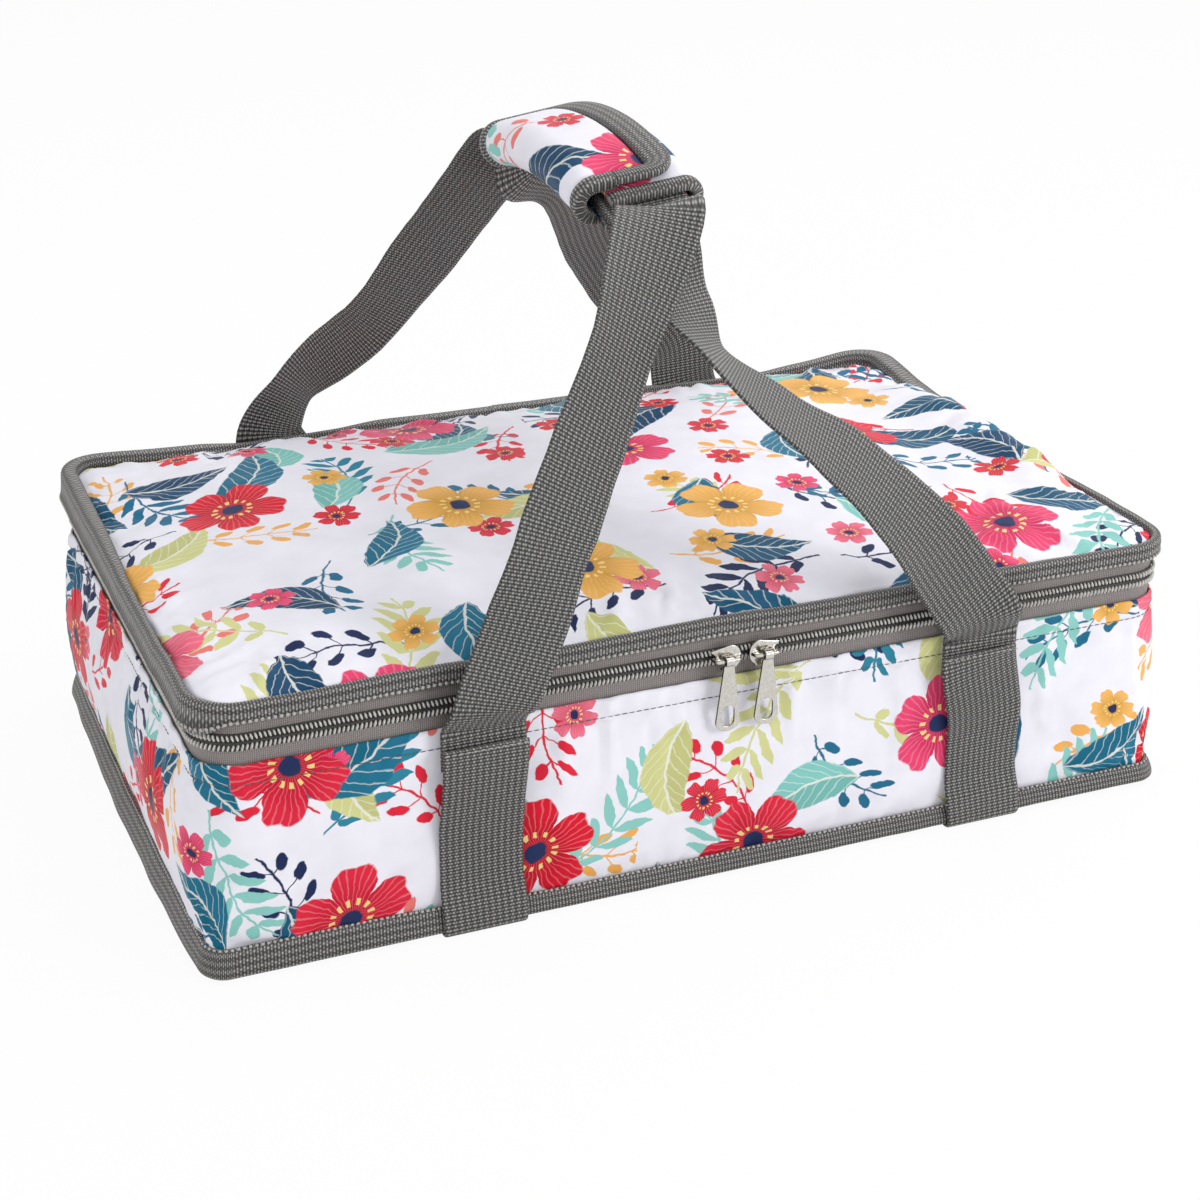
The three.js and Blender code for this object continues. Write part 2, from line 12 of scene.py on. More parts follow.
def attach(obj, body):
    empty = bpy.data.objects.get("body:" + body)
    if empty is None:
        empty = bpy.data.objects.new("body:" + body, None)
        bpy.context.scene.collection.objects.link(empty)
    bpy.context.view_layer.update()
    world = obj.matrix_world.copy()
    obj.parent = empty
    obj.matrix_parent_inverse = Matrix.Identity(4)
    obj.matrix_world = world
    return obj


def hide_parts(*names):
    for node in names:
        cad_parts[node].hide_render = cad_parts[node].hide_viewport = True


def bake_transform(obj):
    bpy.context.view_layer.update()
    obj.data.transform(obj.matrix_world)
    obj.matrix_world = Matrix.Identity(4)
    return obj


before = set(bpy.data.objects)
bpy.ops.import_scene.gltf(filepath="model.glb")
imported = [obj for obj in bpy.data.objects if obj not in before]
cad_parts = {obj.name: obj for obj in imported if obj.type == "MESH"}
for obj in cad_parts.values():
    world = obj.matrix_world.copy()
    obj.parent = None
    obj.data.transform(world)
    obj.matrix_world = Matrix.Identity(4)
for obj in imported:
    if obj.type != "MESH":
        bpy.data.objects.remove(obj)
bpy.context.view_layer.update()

# Sizes that shape a piece are in millimetres, as in the part's source; prints, blends and lamps use metres.
MM = 0.001
# The box, its corners at the top and at the bottom edge, its stitch line and its hem.
HALF_LENGTH, HALF_DEPTH, CORNER, LOW_CORNER = 204.0, 128.0, 18.0, 6.5
STITCH_HEIGHT, HEM_TOP = 80.0, 88.0
# The zip ends this far back; its tape's foot and head, and the middles of its two rows of teeth.
ZIP_END, ZIP_FOOT, ZIP_HEAD = 109.9, 80.3, 105.2
LOWER_COIL, UPPER_COIL = 95.2, 99.1
# How far the cloth stands off the foam at the right end, and how much broader a pull is cast.
RIGHT_FULL, PULL_BROAD = 4.5, 0.2
# The lid's panel lies inside the wall's face; its height at the edge and its rise to the middle.
LID_INSET, LID_EDGE, LID_CROWN = 2.6, 111.4, 11.2
# The middle and half the height of the lid's binding, the foot of the bottom lip, the lining's depth.
LID_BAND, LID_BAND_HALF, LIP_FOOT, LINING_IN = 109.4, 3.9, 1.9, 7.4
# The straps' places, their sway to the right on the way down, and half the cloth that each holds flat.
LEFT_STRAP, LEFT_SWAY = -97.5, -1.0
RIGHT_STRAP, RIGHT_SWAY = 115.5, 7.0
HELD_HALF = 21.0
STRAP_WIDTH, STRAP_THICKNESS, STRAP_EDGE = 34.0, 1.6, 1.2
# Depths of the strap on the wall, of its hem off that, of the handle's lapped end and past the lid.
STRAP_FACE, HEM_OUT, LAP_FACE, PASS_FACE = 129.1, 4.9, 131.6, 138.0
# The height of a base strap's hem, and half of its flat run under the bag.
FOLD_TOP, UNDER_HALF = 80.8, 124.0
# The arched grip, the handles' legs that rise to it, and how far the flap lies out from its line.
GRIP_X, GRIP_Y, GRIP_HEIGHT, GRIP_ROLL, GRIP_RADIUS = -5.0, -7.0, 268.0, 8.0, 173.0
LEG_START, LEG_SPREAD, LEAN_FROM, RUN_OFFSET, PAD_END = 80.0, 5.5, 0.36, 1.8, 126.0
FLAP_OUT = 10.6

# Short names for the kinds of node that come up often: the full name and what is set on it.
KINDS = {
    "range": ("ShaderNodeMapRange", {}),
    "noise": ("ShaderNodeTexNoise", {}),
    "white_noise": ("ShaderNodeTexWhiteNoise", {}),
    "bump": ("ShaderNodeBump", {}),
    "group": ("ShaderNodeGroup", {}),
    "split": ("ShaderNodeSeparateXYZ", {}),
    "combine": ("ShaderNodeCombineXYZ", {}),
    "split_colour": ("ShaderNodeSeparateColor", {}),
    "tone": ("ShaderNodeHueSaturation", {}),
    "cloth": ("ShaderNodeUVMap", {"uv_map": "cloth"}),
    "place": ("ShaderNodeTexCoord", {}),
}
SUMS = "add subtract multiply divide power multiply_add maximum absolute floor fract"
TURNS = "sine cosine arctan2 compare less_than greater_than"
for word in (SUMS + " " + TURNS).split():
    KINDS[word] = ("ShaderNodeMath", {"operation": word.upper()})
for word in ("add", "subtract", "scale", "length"):
    KINDS[f"vector_{word}"] = ("ShaderNodeVectorMath", {"operation": word.upper()})


# Shared making.


def linear(code, alpha=1.0):
    """An sRGB hex colour as linear light."""
    parts = [int(code[k : k + 2], 16) / 255 for k in (1, 3, 5)]
    return (*[c / 12.92 if c <= 0.04045 else ((c + 0.055) / 1.055) ** 2.4 for c in parts], alpha)


def feed(node, *values):
    """Sets or links a node's inputs in order, or by key from a dict; a node gives its first live output."""
    for place, value in enumerate(values):
        for key, given in (value if isinstance(value, dict) else {place: value}).items():
            if isinstance(given, bpy.types.Node):
                given = next(socket for socket in given.outputs if socket.enabled)
            if isinstance(given, bpy.types.NodeSocket):
                node.id_data.links.new(given, node.inputs[key])
            elif given is not None:
                node.inputs[key].default_value = given
    return node


def put(tree, kind, *values, **settings):
    """Adds a node, by its short or its full name, with its settings and its inputs."""
    full, preset = KINDS.get(kind, (kind, {}))
    node = tree.nodes.new(full)
    for key, value in {**preset, **settings}.items():
        setattr(node, key, value)
    return feed(node, *values)


def smooth(value):
    """Eases from 0 to 1, level at both ends."""
    value = np.clip(value, 0, 1)
    return value * value * (3 - 2 * value)


def hump(share):
    """Rises from 0 to 1 and falls back, as a share goes from 0 to 1."""
    return math.sin(math.pi * min(max(share, 0), 1))


def unit(rows):
    """Each row as a direction of length one."""
    return rows / np.linalg.norm(rows, axis=1, keepdims=True)


def lengths(points):
    """The length run so far at each point of a line."""
    return np.concatenate([[0], np.cumsum(np.linalg.norm(np.diff(points, axis=0), axis=1))])


def ripple(values, size, seed):
    """A smooth random wave of about unit height along a length, with bumps about size long."""
    draw = np.random.default_rng(seed)
    total = np.zeros_like(values, dtype=float)
    for _ in range(7):
        pitch = size * draw.uniform(0.6, 2.2)
        total += np.sin(values * 2 * math.pi / pitch + draw.uniform(0, 2 * math.pi)) / 2.6
    return total


def link(name, data):
    """A new object in the scene from its mesh, lamp or camera."""
    piece = bpy.data.objects.new(name, data)
    bpy.context.scene.collection.objects.link(piece)
    return piece


def loft(name, grid, along, around, closed=(False, True), capped=False, crosswise=False):
    """A mesh through a grid of points, whose UV map is the cloth's own length and width in metres."""
    rows, columns = grid.shape[:2]
    i, j = np.meshgrid(
        np.arange(rows - (not closed[0])), np.arange(columns - (not closed[1])), indexing="ij"
    )
    i, j = i.ravel(), j.ravel()
    corners = [(i, j), (i + 1, j), (i + 1, j + 1), (i, j + 1)]
    faces = np.stack([(a % rows) * columns + b % columns for a, b in corners], 1).tolist()
    spread = [np.stack([along[a], around[b]], 1) for a, b in corners]
    flat = np.stack(spread, 1).reshape(-1, 2)
    if capped:
        ring = np.arange(columns)
        faces += [ring[::-1].tolist(), ((rows - 1) * columns + ring).tolist()]
        ends = [(along[0], ring[::-1]), (along[rows - 1], ring)]
        flat = np.concatenate(
            [flat] + [np.stack([np.full(columns, length), around[r]], 1) for length, r in ends]
        )
    mesh = bpy.data.meshes.new(name)
    mesh.from_pydata((grid.reshape(-1, 3) * MM).tolist(), [], faces)
    flat = flat[:, ::-1] if crosswise else flat
    mesh.uv_layers.new(name="cloth").data.foreach_set("uv", (flat * MM).ravel())
    if closed[1] and (closed[0] or capped):
        shell = bmesh.new()
        shell.from_mesh(mesh)
        bmesh.ops.recalc_face_normals(shell, faces=shell.faces)
        shell.to_mesh(mesh)
        shell.free()
    mesh.shade_smooth()
    return link(name, mesh)


def settle(piece, material, slot, body, *nodes):
    """Gives a finished piece its material and the body that carries it, and hides the CAD parts it stands
    for.
    """
    if material:
        piece.data.materials.clear()
        piece.data.materials.append(material)
    if nodes:
        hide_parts(*nodes)
    if body:
        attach(piece, body)
    return piece


def apply_modifiers(piece):
    """Turns a piece and its modifiers into a plain mesh."""
    depsgraph = bpy.context.evaluated_depsgraph_get()
    mesh = bpy.data.meshes.new_from_object(piece.evaluated_get(depsgraph))
    piece.modifiers.clear()
    piece.data = mesh


def thicken(piece, thickness):
    """Gives a single cloth face its thickness, inwards."""
    wall = piece.modifiers.new("thickness", "SOLIDIFY")
    wall.thickness, wall.offset = thickness * MM, -1
    apply_modifiers(piece)
    piece.data.shade_smooth()
    return piece


def swell(piece, seams, pressure, growth, cap, frames=18):
    """Lets a sewn panel swell and pucker between the seams that hold it, by cloth simulation."""
    count = len(piece.data.vertices)
    rest = np.empty(count * 3, np.float32)
    piece.data.vertices.foreach_get("co", rest)
    piece.vertex_groups.new(name="seam").add(seams.tolist(), 1.0, "REPLACE")
    cloth = piece.modifiers.new("cloth", "CLOTH")
    settings = cloth.settings
    settings.quality, settings.mass, settings.air_damping = 6, 0.12, 3
    settings.tension_stiffness = settings.compression_stiffness = 14
    settings.shear_stiffness, settings.bending_stiffness = 4, 0.12
    settings.vertex_group_mass = "seam"
    settings.use_pressure, settings.uniform_pressure_force = True, pressure
    settings.shrink_min = -growth
    settings.effector_weights.gravity = 0
    cloth.collision_settings.use_collision = False
    scene = bpy.context.scene
    for number in range(1, frames + 1):
        scene.frame_set(number)
    moved = np.empty(count * 3, np.float32)
    done = piece.evaluated_get(bpy.context.evaluated_depsgraph_get())
    done.data.vertices.foreach_get("co", moved)
    piece.modifiers.clear()
    piece.vertex_groups.clear()
    scene.frame_set(1)
    shift = (moved - rest).reshape(-1, 3)
    far = np.linalg.norm(shift, axis=1, keepdims=True)
    shift *= np.minimum(1, cap * MM / np.maximum(far, 1e-9))
    piece.data.vertices.foreach_set("co", (rest.reshape(-1, 3) + shift).ravel())
    piece.data.update()


# Materials.


def bare_nodes(owner):
    """Empties the node tree of a material or a world, and gives what adds a node to it."""
    owner.use_nodes = True
    owner.node_tree.nodes.clear()
    return partial(put, owner.node_tree)


def start_material(name, **surface):
    """A new material, what adds a node to it, and its surface shader."""
    material = bpy.data.materials.new(name)
    node = bare_nodes(material)
    shader = node("ShaderNodeBsdfPrincipled", {k.replace("_", " "): v for k, v in surface.items()})
    node("ShaderNodeOutputMaterial", shader)
    return material, node, shader


# The sockets of the print's groups that don't carry a plain number.
SOCKETS = {"Cloth": "NodeSocketVector", "Place": "NodeSocketVector", "Colour": "NodeSocketColor"}


def start_group(name, inputs, outputs="Colour Mask"):
    """A new node group with named sockets, what adds a node to it, what comes in, and where it goes out."""
    tree = bpy.data.node_groups.new(name, "ShaderNodeTree")
    for way, labels in (("INPUT", inputs), ("OUTPUT", outputs)):
        for label in labels.split():
            kind = SOCKETS.get(label, "NodeSocketFloat")
            tree.interface.new_socket(label, in_out=way, socket_type=kind)
    node = partial(put, tree)
    given, out = node("NodeGroupInput"), node("NodeGroupOutput")
    return tree, node, given.outputs[: len(inputs.split())], out


PETALS = ["#e01733", "#ee4676", "#f5b95e", "#e32743", "#f2708a", "#e01733"]
LEAVES = ["#175a7c", "#86cbc4", "#1b4a6e", "#1f7391", "#d6d794", "#175a7c"]
BERRIES = ["#e5283f", "#1d2b55", "#f0817a", "#1f6d8f", "#f4b45e"]
SPRIGS = ["#8fd0c8", "#1f6d8f", "#d8d99a", "#2f86a0", "#1d2b55", "#8fd0c8"]


def palette(node, tint, colours):
    """A node that picks one flat printing colour."""
    picker = node("ShaderNodeValToRGB", tint)
    ramp = picker.color_ramp
    ramp.interpolation = "CONSTANT"
    while len(ramp.elements) < len(colours):
        ramp.elements.new(1.0)
    for k, code in enumerate(colours):
        ramp.elements[k].position = k / len(colours)
        ramp.elements[k].color = linear(code)
    return picker


def mix(node, share, under, over):
    """Lays one colour over another, by a share."""
    return node("ShaderNodeMix", {0: share, 6: under, 7: over}, data_type="RGBA")


def scatter_group():
    """Cells in half-drop rows, each with its own shift, turn, chance and tint."""
    tree, node, (cloth, cell, seed, jitter), out = start_group(
        "print_scatter", "Cloth Cell Seed Jitter", "Place Chance Tint"
    )
    scaled = node("vector_scale", {0: cloth, "Scale": node("divide", 1.0, cell)})
    x, y, _ = node("split", scaled).outputs
    column = node("floor", x)
    height = node("add", y, node("fract", node("multiply", column, 0.5)))
    row = node("floor", height)
    name = node("combine", column, row, seed)
    first = node("white_noise", name)
    second = node("white_noise", node("vector_add", name, (17.3, 5.1, 9.7)))
    inside = node("vector_subtract", node("combine", x, height), node("combine", column, row))
    centred = node("vector_subtract", inside, (0.5, 0.5, 0.0))
    _, aside, up = node("split_colour", first.outputs["Color"]).outputs
    even = node("vector_subtract", node("combine", aside, up), (0.5, 0.5, 0.0))
    moved = node("vector_subtract", centred, node("vector_scale", {0: even, "Scale": jitter}))
    real = node("vector_scale", {0: moved, "Scale": cell})
    turn, chance, tint = node("split_colour", second.outputs["Color"]).outputs
    angle = node("multiply", turn, 2 * math.pi)
    place = node("ShaderNodeVectorRotate", {"Vector": real, "Angle": angle}, rotation_type="Z_AXIS")
    feed(out, place, chance, tint)
    return tree


def flower_group(lobes):
    """A single open flower with notched petals, a darker throat, an eye and a ring of stamen dots."""
    tree, node, (place, radius, tint), out = start_group(f"print_flower_{lobes}", "Place Radius Tint")
    x, y, _ = node("split", place).outputs
    far = node("divide", node("vector_length", place), radius)
    angle = node("arctan2", y, x)
    lobe = node("absolute", node("cosine", node("multiply", angle, lobes / 2)))
    reach = node("multiply_add", node("power", lobe, 0.55), 0.55, 0.45)
    edge = node("multiply_add", node("power", lobe, 12.0), -0.10, reach)
    mask = node("range", node("subtract", edge, far), 0.0, 0.03)
    petal = palette(node, tint, PETALS)
    throat = node("tone", {"Saturation": 1.15, "Value": 0.62, "Color": petal})
    body = mix(node, node("range", far, 0.75, 0.12, 0.0, 0.8), petal, throat)
    folded = mix(node, node("range", lobe, 0.5, 0.0, 0.0, 0.45), body, throat)
    lines = node("cosine", node("multiply", angle, 8.0 * lobes))
    streak = node("range", lines, 0.6, 1.0, 0.0, 0.16)
    streaked = mix(node, streak, folded, linear("#fff1ea"))
    beat = node("cosine", node("multiply", angle, 13.0))
    dots = node("multiply", node("compare", far, 0.30, 0.05), node("range", beat, 0.1, 0.4))
    dotted = mix(node, dots, streaked, linear("#f7d98c"))
    colour = mix(node, node("range", far, 0.19, 0.16), dotted, linear("#22305a"))
    feed(out, colour, mask)
    return tree


def leaf_group():
    """A single broad leaf, bent along its midrib, with pale veins."""
    tree, node, (place, length, width, tint), out = start_group("print_leaf", "Place Length Width Tint")
    x, y, _ = node("split", place).outputs
    share = node("add", node("divide", x, length), 0.5)
    bend = node("multiply", node("multiply", x, x), node("divide", 0.7, length))
    side = node("subtract", y, bend)
    off = node("absolute", side)
    rest = node("subtract", 1.0, share)
    arch = node("multiply", share, rest)
    skew = node("multiply_add", rest, 1.6, 1.2)
    half = node("multiply", node("multiply", arch, skew), width)
    mask = node("range", node("subtract", half, off), 0.0, 0.0006)
    flat = palette(node, tint, LEAVES)
    shade = node("tone", {"Saturation": 1.1, "Value": 0.74, "Color": flat})
    toned = mix(node, node("range", side, -0.0004, 0.0004, 0.0, 0.6), flat, shade)
    back = node("multiply_add", node("divide", off, length), -1.2, share)
    vein = node("range", node("fract", node("multiply", back, 9.0)), 0.16, 0.06, 0.0, 0.55)
    rib = node("range", off, 0.0007, 0.0004, 0.0, 0.8)
    colour = mix(node, node("maximum", vein, rib), toned, linear("#f2f2ea"))
    feed(out, colour, mask)
    return tree


def sprig_group(berries):
    """A bent twig with paired leaves, or paired berries on stalks, that grow smaller to both ends."""
    tree, node, (place, length, pitch, reach, tint), out = start_group(
        "print_berries" if berries else "print_sprig", "Place Length Pitch Reach Tint"
    )
    x, y, _ = node("split", place).outputs
    bend = node("multiply", node("multiply", x, x), node("divide", 0.5, length))
    off = node("absolute", node("subtract", y, bend))
    along = node("multiply_add", off, -0.8, x)
    step = node("add", node("floor", node("divide", along, pitch)), 0.5)
    middle = node("multiply", step, pitch)
    gap = node("absolute", node("subtract", along, middle))
    share = node("divide", middle, length)
    taper = node("multiply_add", node("multiply", share, share), -4.0, 1.0)
    long = node("maximum", node("multiply", taper, reach), 0.0001)
    out_share = node("divide", off, long)
    stem_room = node("subtract", node("multiply", length, 0.5), node("absolute", x))
    stem_on = node("greater_than", stem_room, 0.0)
    stem = node("multiply", node("range", off, 0.0007, 0.0003), stem_on)
    grown = node("greater_than", taper, 0.12)
    if berries:
        drop = node("absolute", node("subtract", off, long))
        near = node("vector_length", node("combine", drop, gap))
        size = node("multiply", pitch, 0.30)
        ball = node("range", node("subtract", size, near), 0.0, 0.0004)
        stalk_on = node("less_than", out_share, 1.0)
        stalk = node("multiply", node("range", gap, 0.0005, 0.0002), stalk_on)
        grows = node("maximum", ball, stalk)
    else:
        arch = node("multiply", out_share, node("subtract", 1.0, out_share))
        half = node("multiply", arch, node("multiply", pitch, 1.45))
        grows = node("range", node("subtract", half, gap), 0.0, 0.0004)
    mask = node("maximum", node("multiply", grows, grown), stem)
    feed(out, palette(node, tint, BERRIES if berries else SPRIGS), mask)
    return tree


def wandering(node, cloth, scale, detail, reach):
    """The cloth's own places, moved a little to and fro, so that no line is quite true."""
    noise = node("noise", {"Vector": cloth, "Scale": scale, "Detail": detail})
    even = node("vector_subtract", noise.outputs["Color"], (0.5, 0.5, 0.5))
    return node("vector_add", cloth, node("vector_scale", {0: even, "Scale": reach}))


def printed_satin():
    """Printed polyester satin: white, closely woven, with a soft cool sheen and a bright, generic
    flower print; tiny creases catch the light."""
    material, node, shader = start_material(
        "printed_satin", Sheen_Weight=0.03, Sheen_Roughness=0.4, Specular_IOR_Level=0.12
    )
    cloth = node("cloth")
    # A hand-painted edge: the print's lines wander by under a millimetre.
    painted = wandering(node, cloth, 170.0, 2.0, 0.003)
    scatter = scatter_group()
    leaf, sprig, berry = leaf_group(), sprig_group(False), sprig_group(True)
    five, six = flower_group(5), flower_group(6)
    # Each layer: its motif, the cell in metres, seed, jitter, share of cells used, and the motif's sizes.
    layers = [
        (berry, 0.056, 1.0, 0.45, 0.85, {"Length": 0.052, "Pitch": 0.0105, "Reach": 0.008}),
        (sprig, 0.070, 2.0, 0.45, 0.85, {"Length": 0.064, "Pitch": 0.0088, "Reach": 0.0135}),
        (leaf, 0.066, 3.0, 0.50, 0.85, {"Length": 0.048, "Width": 0.021}),
        (leaf, 0.088, 4.0, 0.55, 0.80, {"Length": 0.062, "Width": 0.024}),
        (six, 0.047, 5.0, 0.55, 0.60, {"Radius": 0.0105}),
        (five, 0.090, 16.0, 0.40, 0.80, {"Radius": 0.0245}),
    ]
    ground = linear("#f3f2fb")
    for motif, cell, seed, jitter, chance, sizes in layers:
        spot = node("group", painted, cell, seed, jitter, node_tree=scatter)
        place, chosen, tint = spot.outputs
        drawn = node("group", {"Place": place, "Tint": tint, **sizes}, node_tree=motif)
        mask = node("multiply", drawn.outputs["Mask"], node("less_than", chosen, chance))
        ground = mix(node, mask, ground, drawn.outputs["Colour"])
    # Watercolour: the dye is a little uneven.
    wash = node("noise", {"Vector": cloth, "Scale": 60.0, "Detail": 3.0})
    dyed = node("tone", {"Value": node("range", wash, 0.3, 0.7, 0.93, 1.0), "Color": ground})
    # Threads are 0.2 mm; they are drawn at 0.5 mm, the finest that shows.
    x, y, _ = node("split", cloth).outputs
    warp, weft = (node("sine", node("multiply", way, 2 * math.pi / 0.0005)) for way in (x, y))
    weave = node("multiply", warp, weft)
    thread = node("bump", {"Strength": 0.08, "Distance": 0.0002, "Height": weave})
    crease = node("noise", {"Vector": cloth, "Scale": 55.0, "Detail": 4.0, "Distortion": 0.8})
    rumpled = node("bump", {"Strength": 0.25, "Distance": 0.002, "Height": crease, "Normal": thread})
    gloss = node("range", crease, 0.3, 0.7, 0.40, 0.54)
    feed(shader, {"Base Color": dyed, "Normal": rumpled, "Roughness": gloss})
    return material


def woven(name, dark, yarn, shine, pitch, roughness, depth):
    """A coarse grey weave read from the strap's own length and width: close rows of yarn, broken into
    dashes, with a painted highlight on their tops and painted shade in the gaps; a little uneven and faintly
    glossy."""
    material, node, shader = start_material(
        name, Roughness=roughness, Sheen_Weight=0.1, Sheen_Roughness=0.5
    )
    cloth = node("cloth")
    x, y, _ = node("split", wandering(node, cloth, 300.0, 1.0, 0.0004)).outputs
    row, column = pitch
    waves = []
    for way, size in ((x, row), (y, column), (x, 2 * row), (y, column / 2)):
        waves.append(node("cosine", node("multiply", way, 2 * math.pi / (size * MM))))
    rows, columns, *slow = waves
    stagger = node("multiply", *slow)
    dashes = node("multiply_add", columns, 0.32, node("multiply", stagger, 0.4))
    height = node("multiply_add", rows, 0.6, dashes)
    shade = node("noise", {"Vector": cloth, "Scale": 700.0, "Detail": 2.0})
    mixed = node("add", height, node("multiply_add", shade, 0.7, -0.35))
    # Painted shade darkens the gaps between the yarns, and a painted highlight brightens the yarns' tops;
    # both follow the weave's height.
    raised = mix(node, node("range", mixed, -0.6, 0.3), linear(dark), linear(yarn))
    colour = mix(node, node("range", mixed, 0.3, 1.0), raised, linear(shine))
    bump = node("bump", {"Strength": 0.5, "Distance": depth * MM, "Height": height})
    feed(shader, {"Base Color": colour, "Normal": bump})
    return material


def nickel():
    """Nickel-plated zinc casting: bright, warm grey, slightly soft in its gloss, with faint handling
    marks, and painted shade on its narrow sides and on the faces turned down."""
    material, node, shader = start_material("plated_nickel", Metallic=1.0)
    place = node("place")
    marks = node("noise", {"Vector": place.outputs["Object"], "Scale": 700.0, "Detail": 4.0})
    gloss = node("range", marks, 0.3, 0.7, 0.16, 0.34)
    tone = mix(node, marks, linear("#b5b1aa"), linear("#e2dfd8"))
    # Painted shade: faces turned to the sides or downwards are darkened towards #4a4743, as shade and dark
    # reflections would darken them.
    _, y, z = node("split", place.outputs["Normal"]).outputs
    thin = node("range", node("maximum", node("absolute", y), z), 0.86, 0.5)
    worn = mix(node, thin, tone, linear("#4a4743"))
    bump = node("bump", {"Strength": 0.35, "Distance": 0.0002, "Height": marks})
    feed(shader, {"Base Color": worn, "Normal": bump, "Roughness": gloss})
    return material


def foil():
    """Heat-reflecting film on foam: silver, crinkled in soft facets that catch the light unevenly."""
    material, node, shader = start_material("silver_foil", Metallic=0.85)
    place = node("place").outputs["Object"]
    facet = node("noise", {"Vector": place, "Scale": 45.0, "Detail": 5.0, "Distortion": 1.4})
    fine = node("ShaderNodeTexVoronoi", {"Vector": place, "Scale": 110.0})
    both = node("multiply_add", fine, 0.35, facet)
    bump = node("bump", {"Strength": 0.7, "Distance": 0.004, "Height": both})
    gloss = node("range", facet, 0.3, 0.7, 0.24, 0.42)
    tone = mix(node, facet, linear("#aeb2b8"), linear("#dadde1"))
    feed(shader, {"Base Color": tone, "Normal": bump, "Roughness": gloss})
    return material


def speckled(name, dark, light, scale, roughness, depth):
    """A plain solid stuff with its own fine grain: foam cells, board fibres, thread lay or moulded nylon."""
    material, node, shader = start_material(name, Roughness=roughness)
    place = node("place").outputs["Object"]
    grain = node("noise", {"Vector": place, "Scale": 1 / (scale * MM), "Detail": 3.0})
    tone = mix(node, node("range", grain, 0.3, 0.7), linear(dark), linear(light))
    bump = node("bump", {"Strength": 0.4, "Distance": depth * MM, "Height": grain})
    feed(shader, {"Base Color": tone, "Normal": bump})
    return material


SATIN = printed_satin()
# Each weave's colours: the painted shade in its gaps, its yarn, and the painted highlight on the yarn's tops;
# then its pitch, roughness and depth.
# Polypropylene webbing: heavy grey yarn in rows 1.36 mm apart and columns 2.6 mm apart.
WEBBING = woven("polypropylene_webbing", "#141414", "#595857", "#aeaca8", (1.36, 2.6), 0.5, 0.5)
# Zip tape: a finer, paler polyester weave.
ZIP_TAPE = woven("zip_tape", "#6f6967", "#8a8381", "#a59e9b", (0.8, 0.9), 0.6, 0.1)
# Binding: grey yarn in upright ribs 1.25 mm apart.
BINDING = woven("ribbed_binding", "#232322", "#605e5d", "#b4b1ae", (1.25, 3.0), 0.55, 0.5)
NICKEL, FOIL = nickel(), foil()
COIL = speckled("nylon_coil", "#b3b0ab", "#dad7d2", 1.2, 0.35, 0.05)
# A dark strip behind the zip's teeth: painted shade, seen in the gaps between and behind the teeth.
SEAT = speckled("coil_seam_thread", "#2b2a28", "#413f3d", 0.5, 0.6, 0.1)
DARK_THREAD = speckled("dark_thread", "#4d4a4a", "#6c6968", 0.4, 0.5, 0.05)
PALE_THREAD = speckled("grey_thread", "#9a9792", "#c6c3be", 0.4, 0.5, 0.05)
FOAM = speckled("polyethylene_foam", "#d9d9d6", "#efefec", 1.5, 0.8, 0.3)
BOARD = speckled("grey_board", "#8b8883", "#a5a29c", 2.0, 0.85, 0.1)
HOOKS = speckled("hook_tape", "#2f2f31", "#5a5958", 0.9, 0.9, 0.4)

# Wall, lid and bindings.


def wall_outline(step, radius):
    """Points round the wall, anticlockwise from the middle of the back: places and outward normals."""
    places, normals, here = [], [], np.array([0.0, HALF_DEPTH])
    # Each corner: which way it lies, where its turn starts, and the straight run before it.
    for right, back, start, straight in (
        (-1, 1, 90, HALF_LENGTH),
        (-1, -1, 180, 2 * HALF_DEPTH),
        (1, -1, 270, 2 * HALF_LENGTH),
        (1, 1, 0, 2 * HALF_DEPTH),
    ):
        turn = np.radians(start + np.linspace(0, 90, 13))
        facing = np.stack([np.cos(turn), np.sin(turn)], 1)
        centre = np.array([right * (HALF_LENGTH - radius), back * (HALF_DEPTH - radius)])
        corner = centre + radius * facing
        count = round(straight / step)
        share = np.arange(count)[:, None] / count
        places += [here + (corner[0] - here) * share, corner[:-1]]
        normals += [np.repeat(facing[:1], count, 0), facing[:-1]]
        here = corner[-1]
    count = round(HALF_LENGTH / step)
    places.append(here + (np.array([0, HALF_DEPTH]) - here) * np.arange(count)[:, None] / count)
    normals.append(np.repeat([[0.0, 1.0]], count, 0))
    return np.concatenate(places), np.concatenate(normals)


# The wall is rounder at its top than at its bottom edge.
PLACES, NORMALS = wall_outline(2.5, CORNER)
LOW_PLACES, LOW_NORMALS = wall_outline(2.5, LOW_CORNER)
RUN = lengths(np.concatenate([PLACES, PLACES[:1]]))
ALONG = RUN[:-1]
FORWARD = np.flatnonzero(PLACES[:, 1] < ZIP_END)
BACKWARD = np.roll(np.flatnonzero(PLACES[:, 1] >= ZIP_END), -np.sum(PLACES[: FORWARD[0], 1] >= ZIP_END))
# Where the straps hold the cloth: each one's middle and half its room, with the right one's sway.
STRAP_ROOM = ((LEFT_STRAP, HELD_HALF), (RIGHT_STRAP + RIGHT_SWAY / 2, HELD_HALF + RIGHT_SWAY / 2))
UNDER_STRAP = np.any([abs(PLACES[:, 0] - x) < room for x, room in STRAP_ROOM], 0)
UNDER_STRAP &= abs(NORMALS[:, 1]) > 0.9


def fuller_end(x, offset):
    """How far the cloth stands off the foam towards the right end, less the further inside it lies."""
    return RIGHT_FULL * smooth((x - 138) / 50) * smooth((np.asarray(offset) + 7) / 4.5)


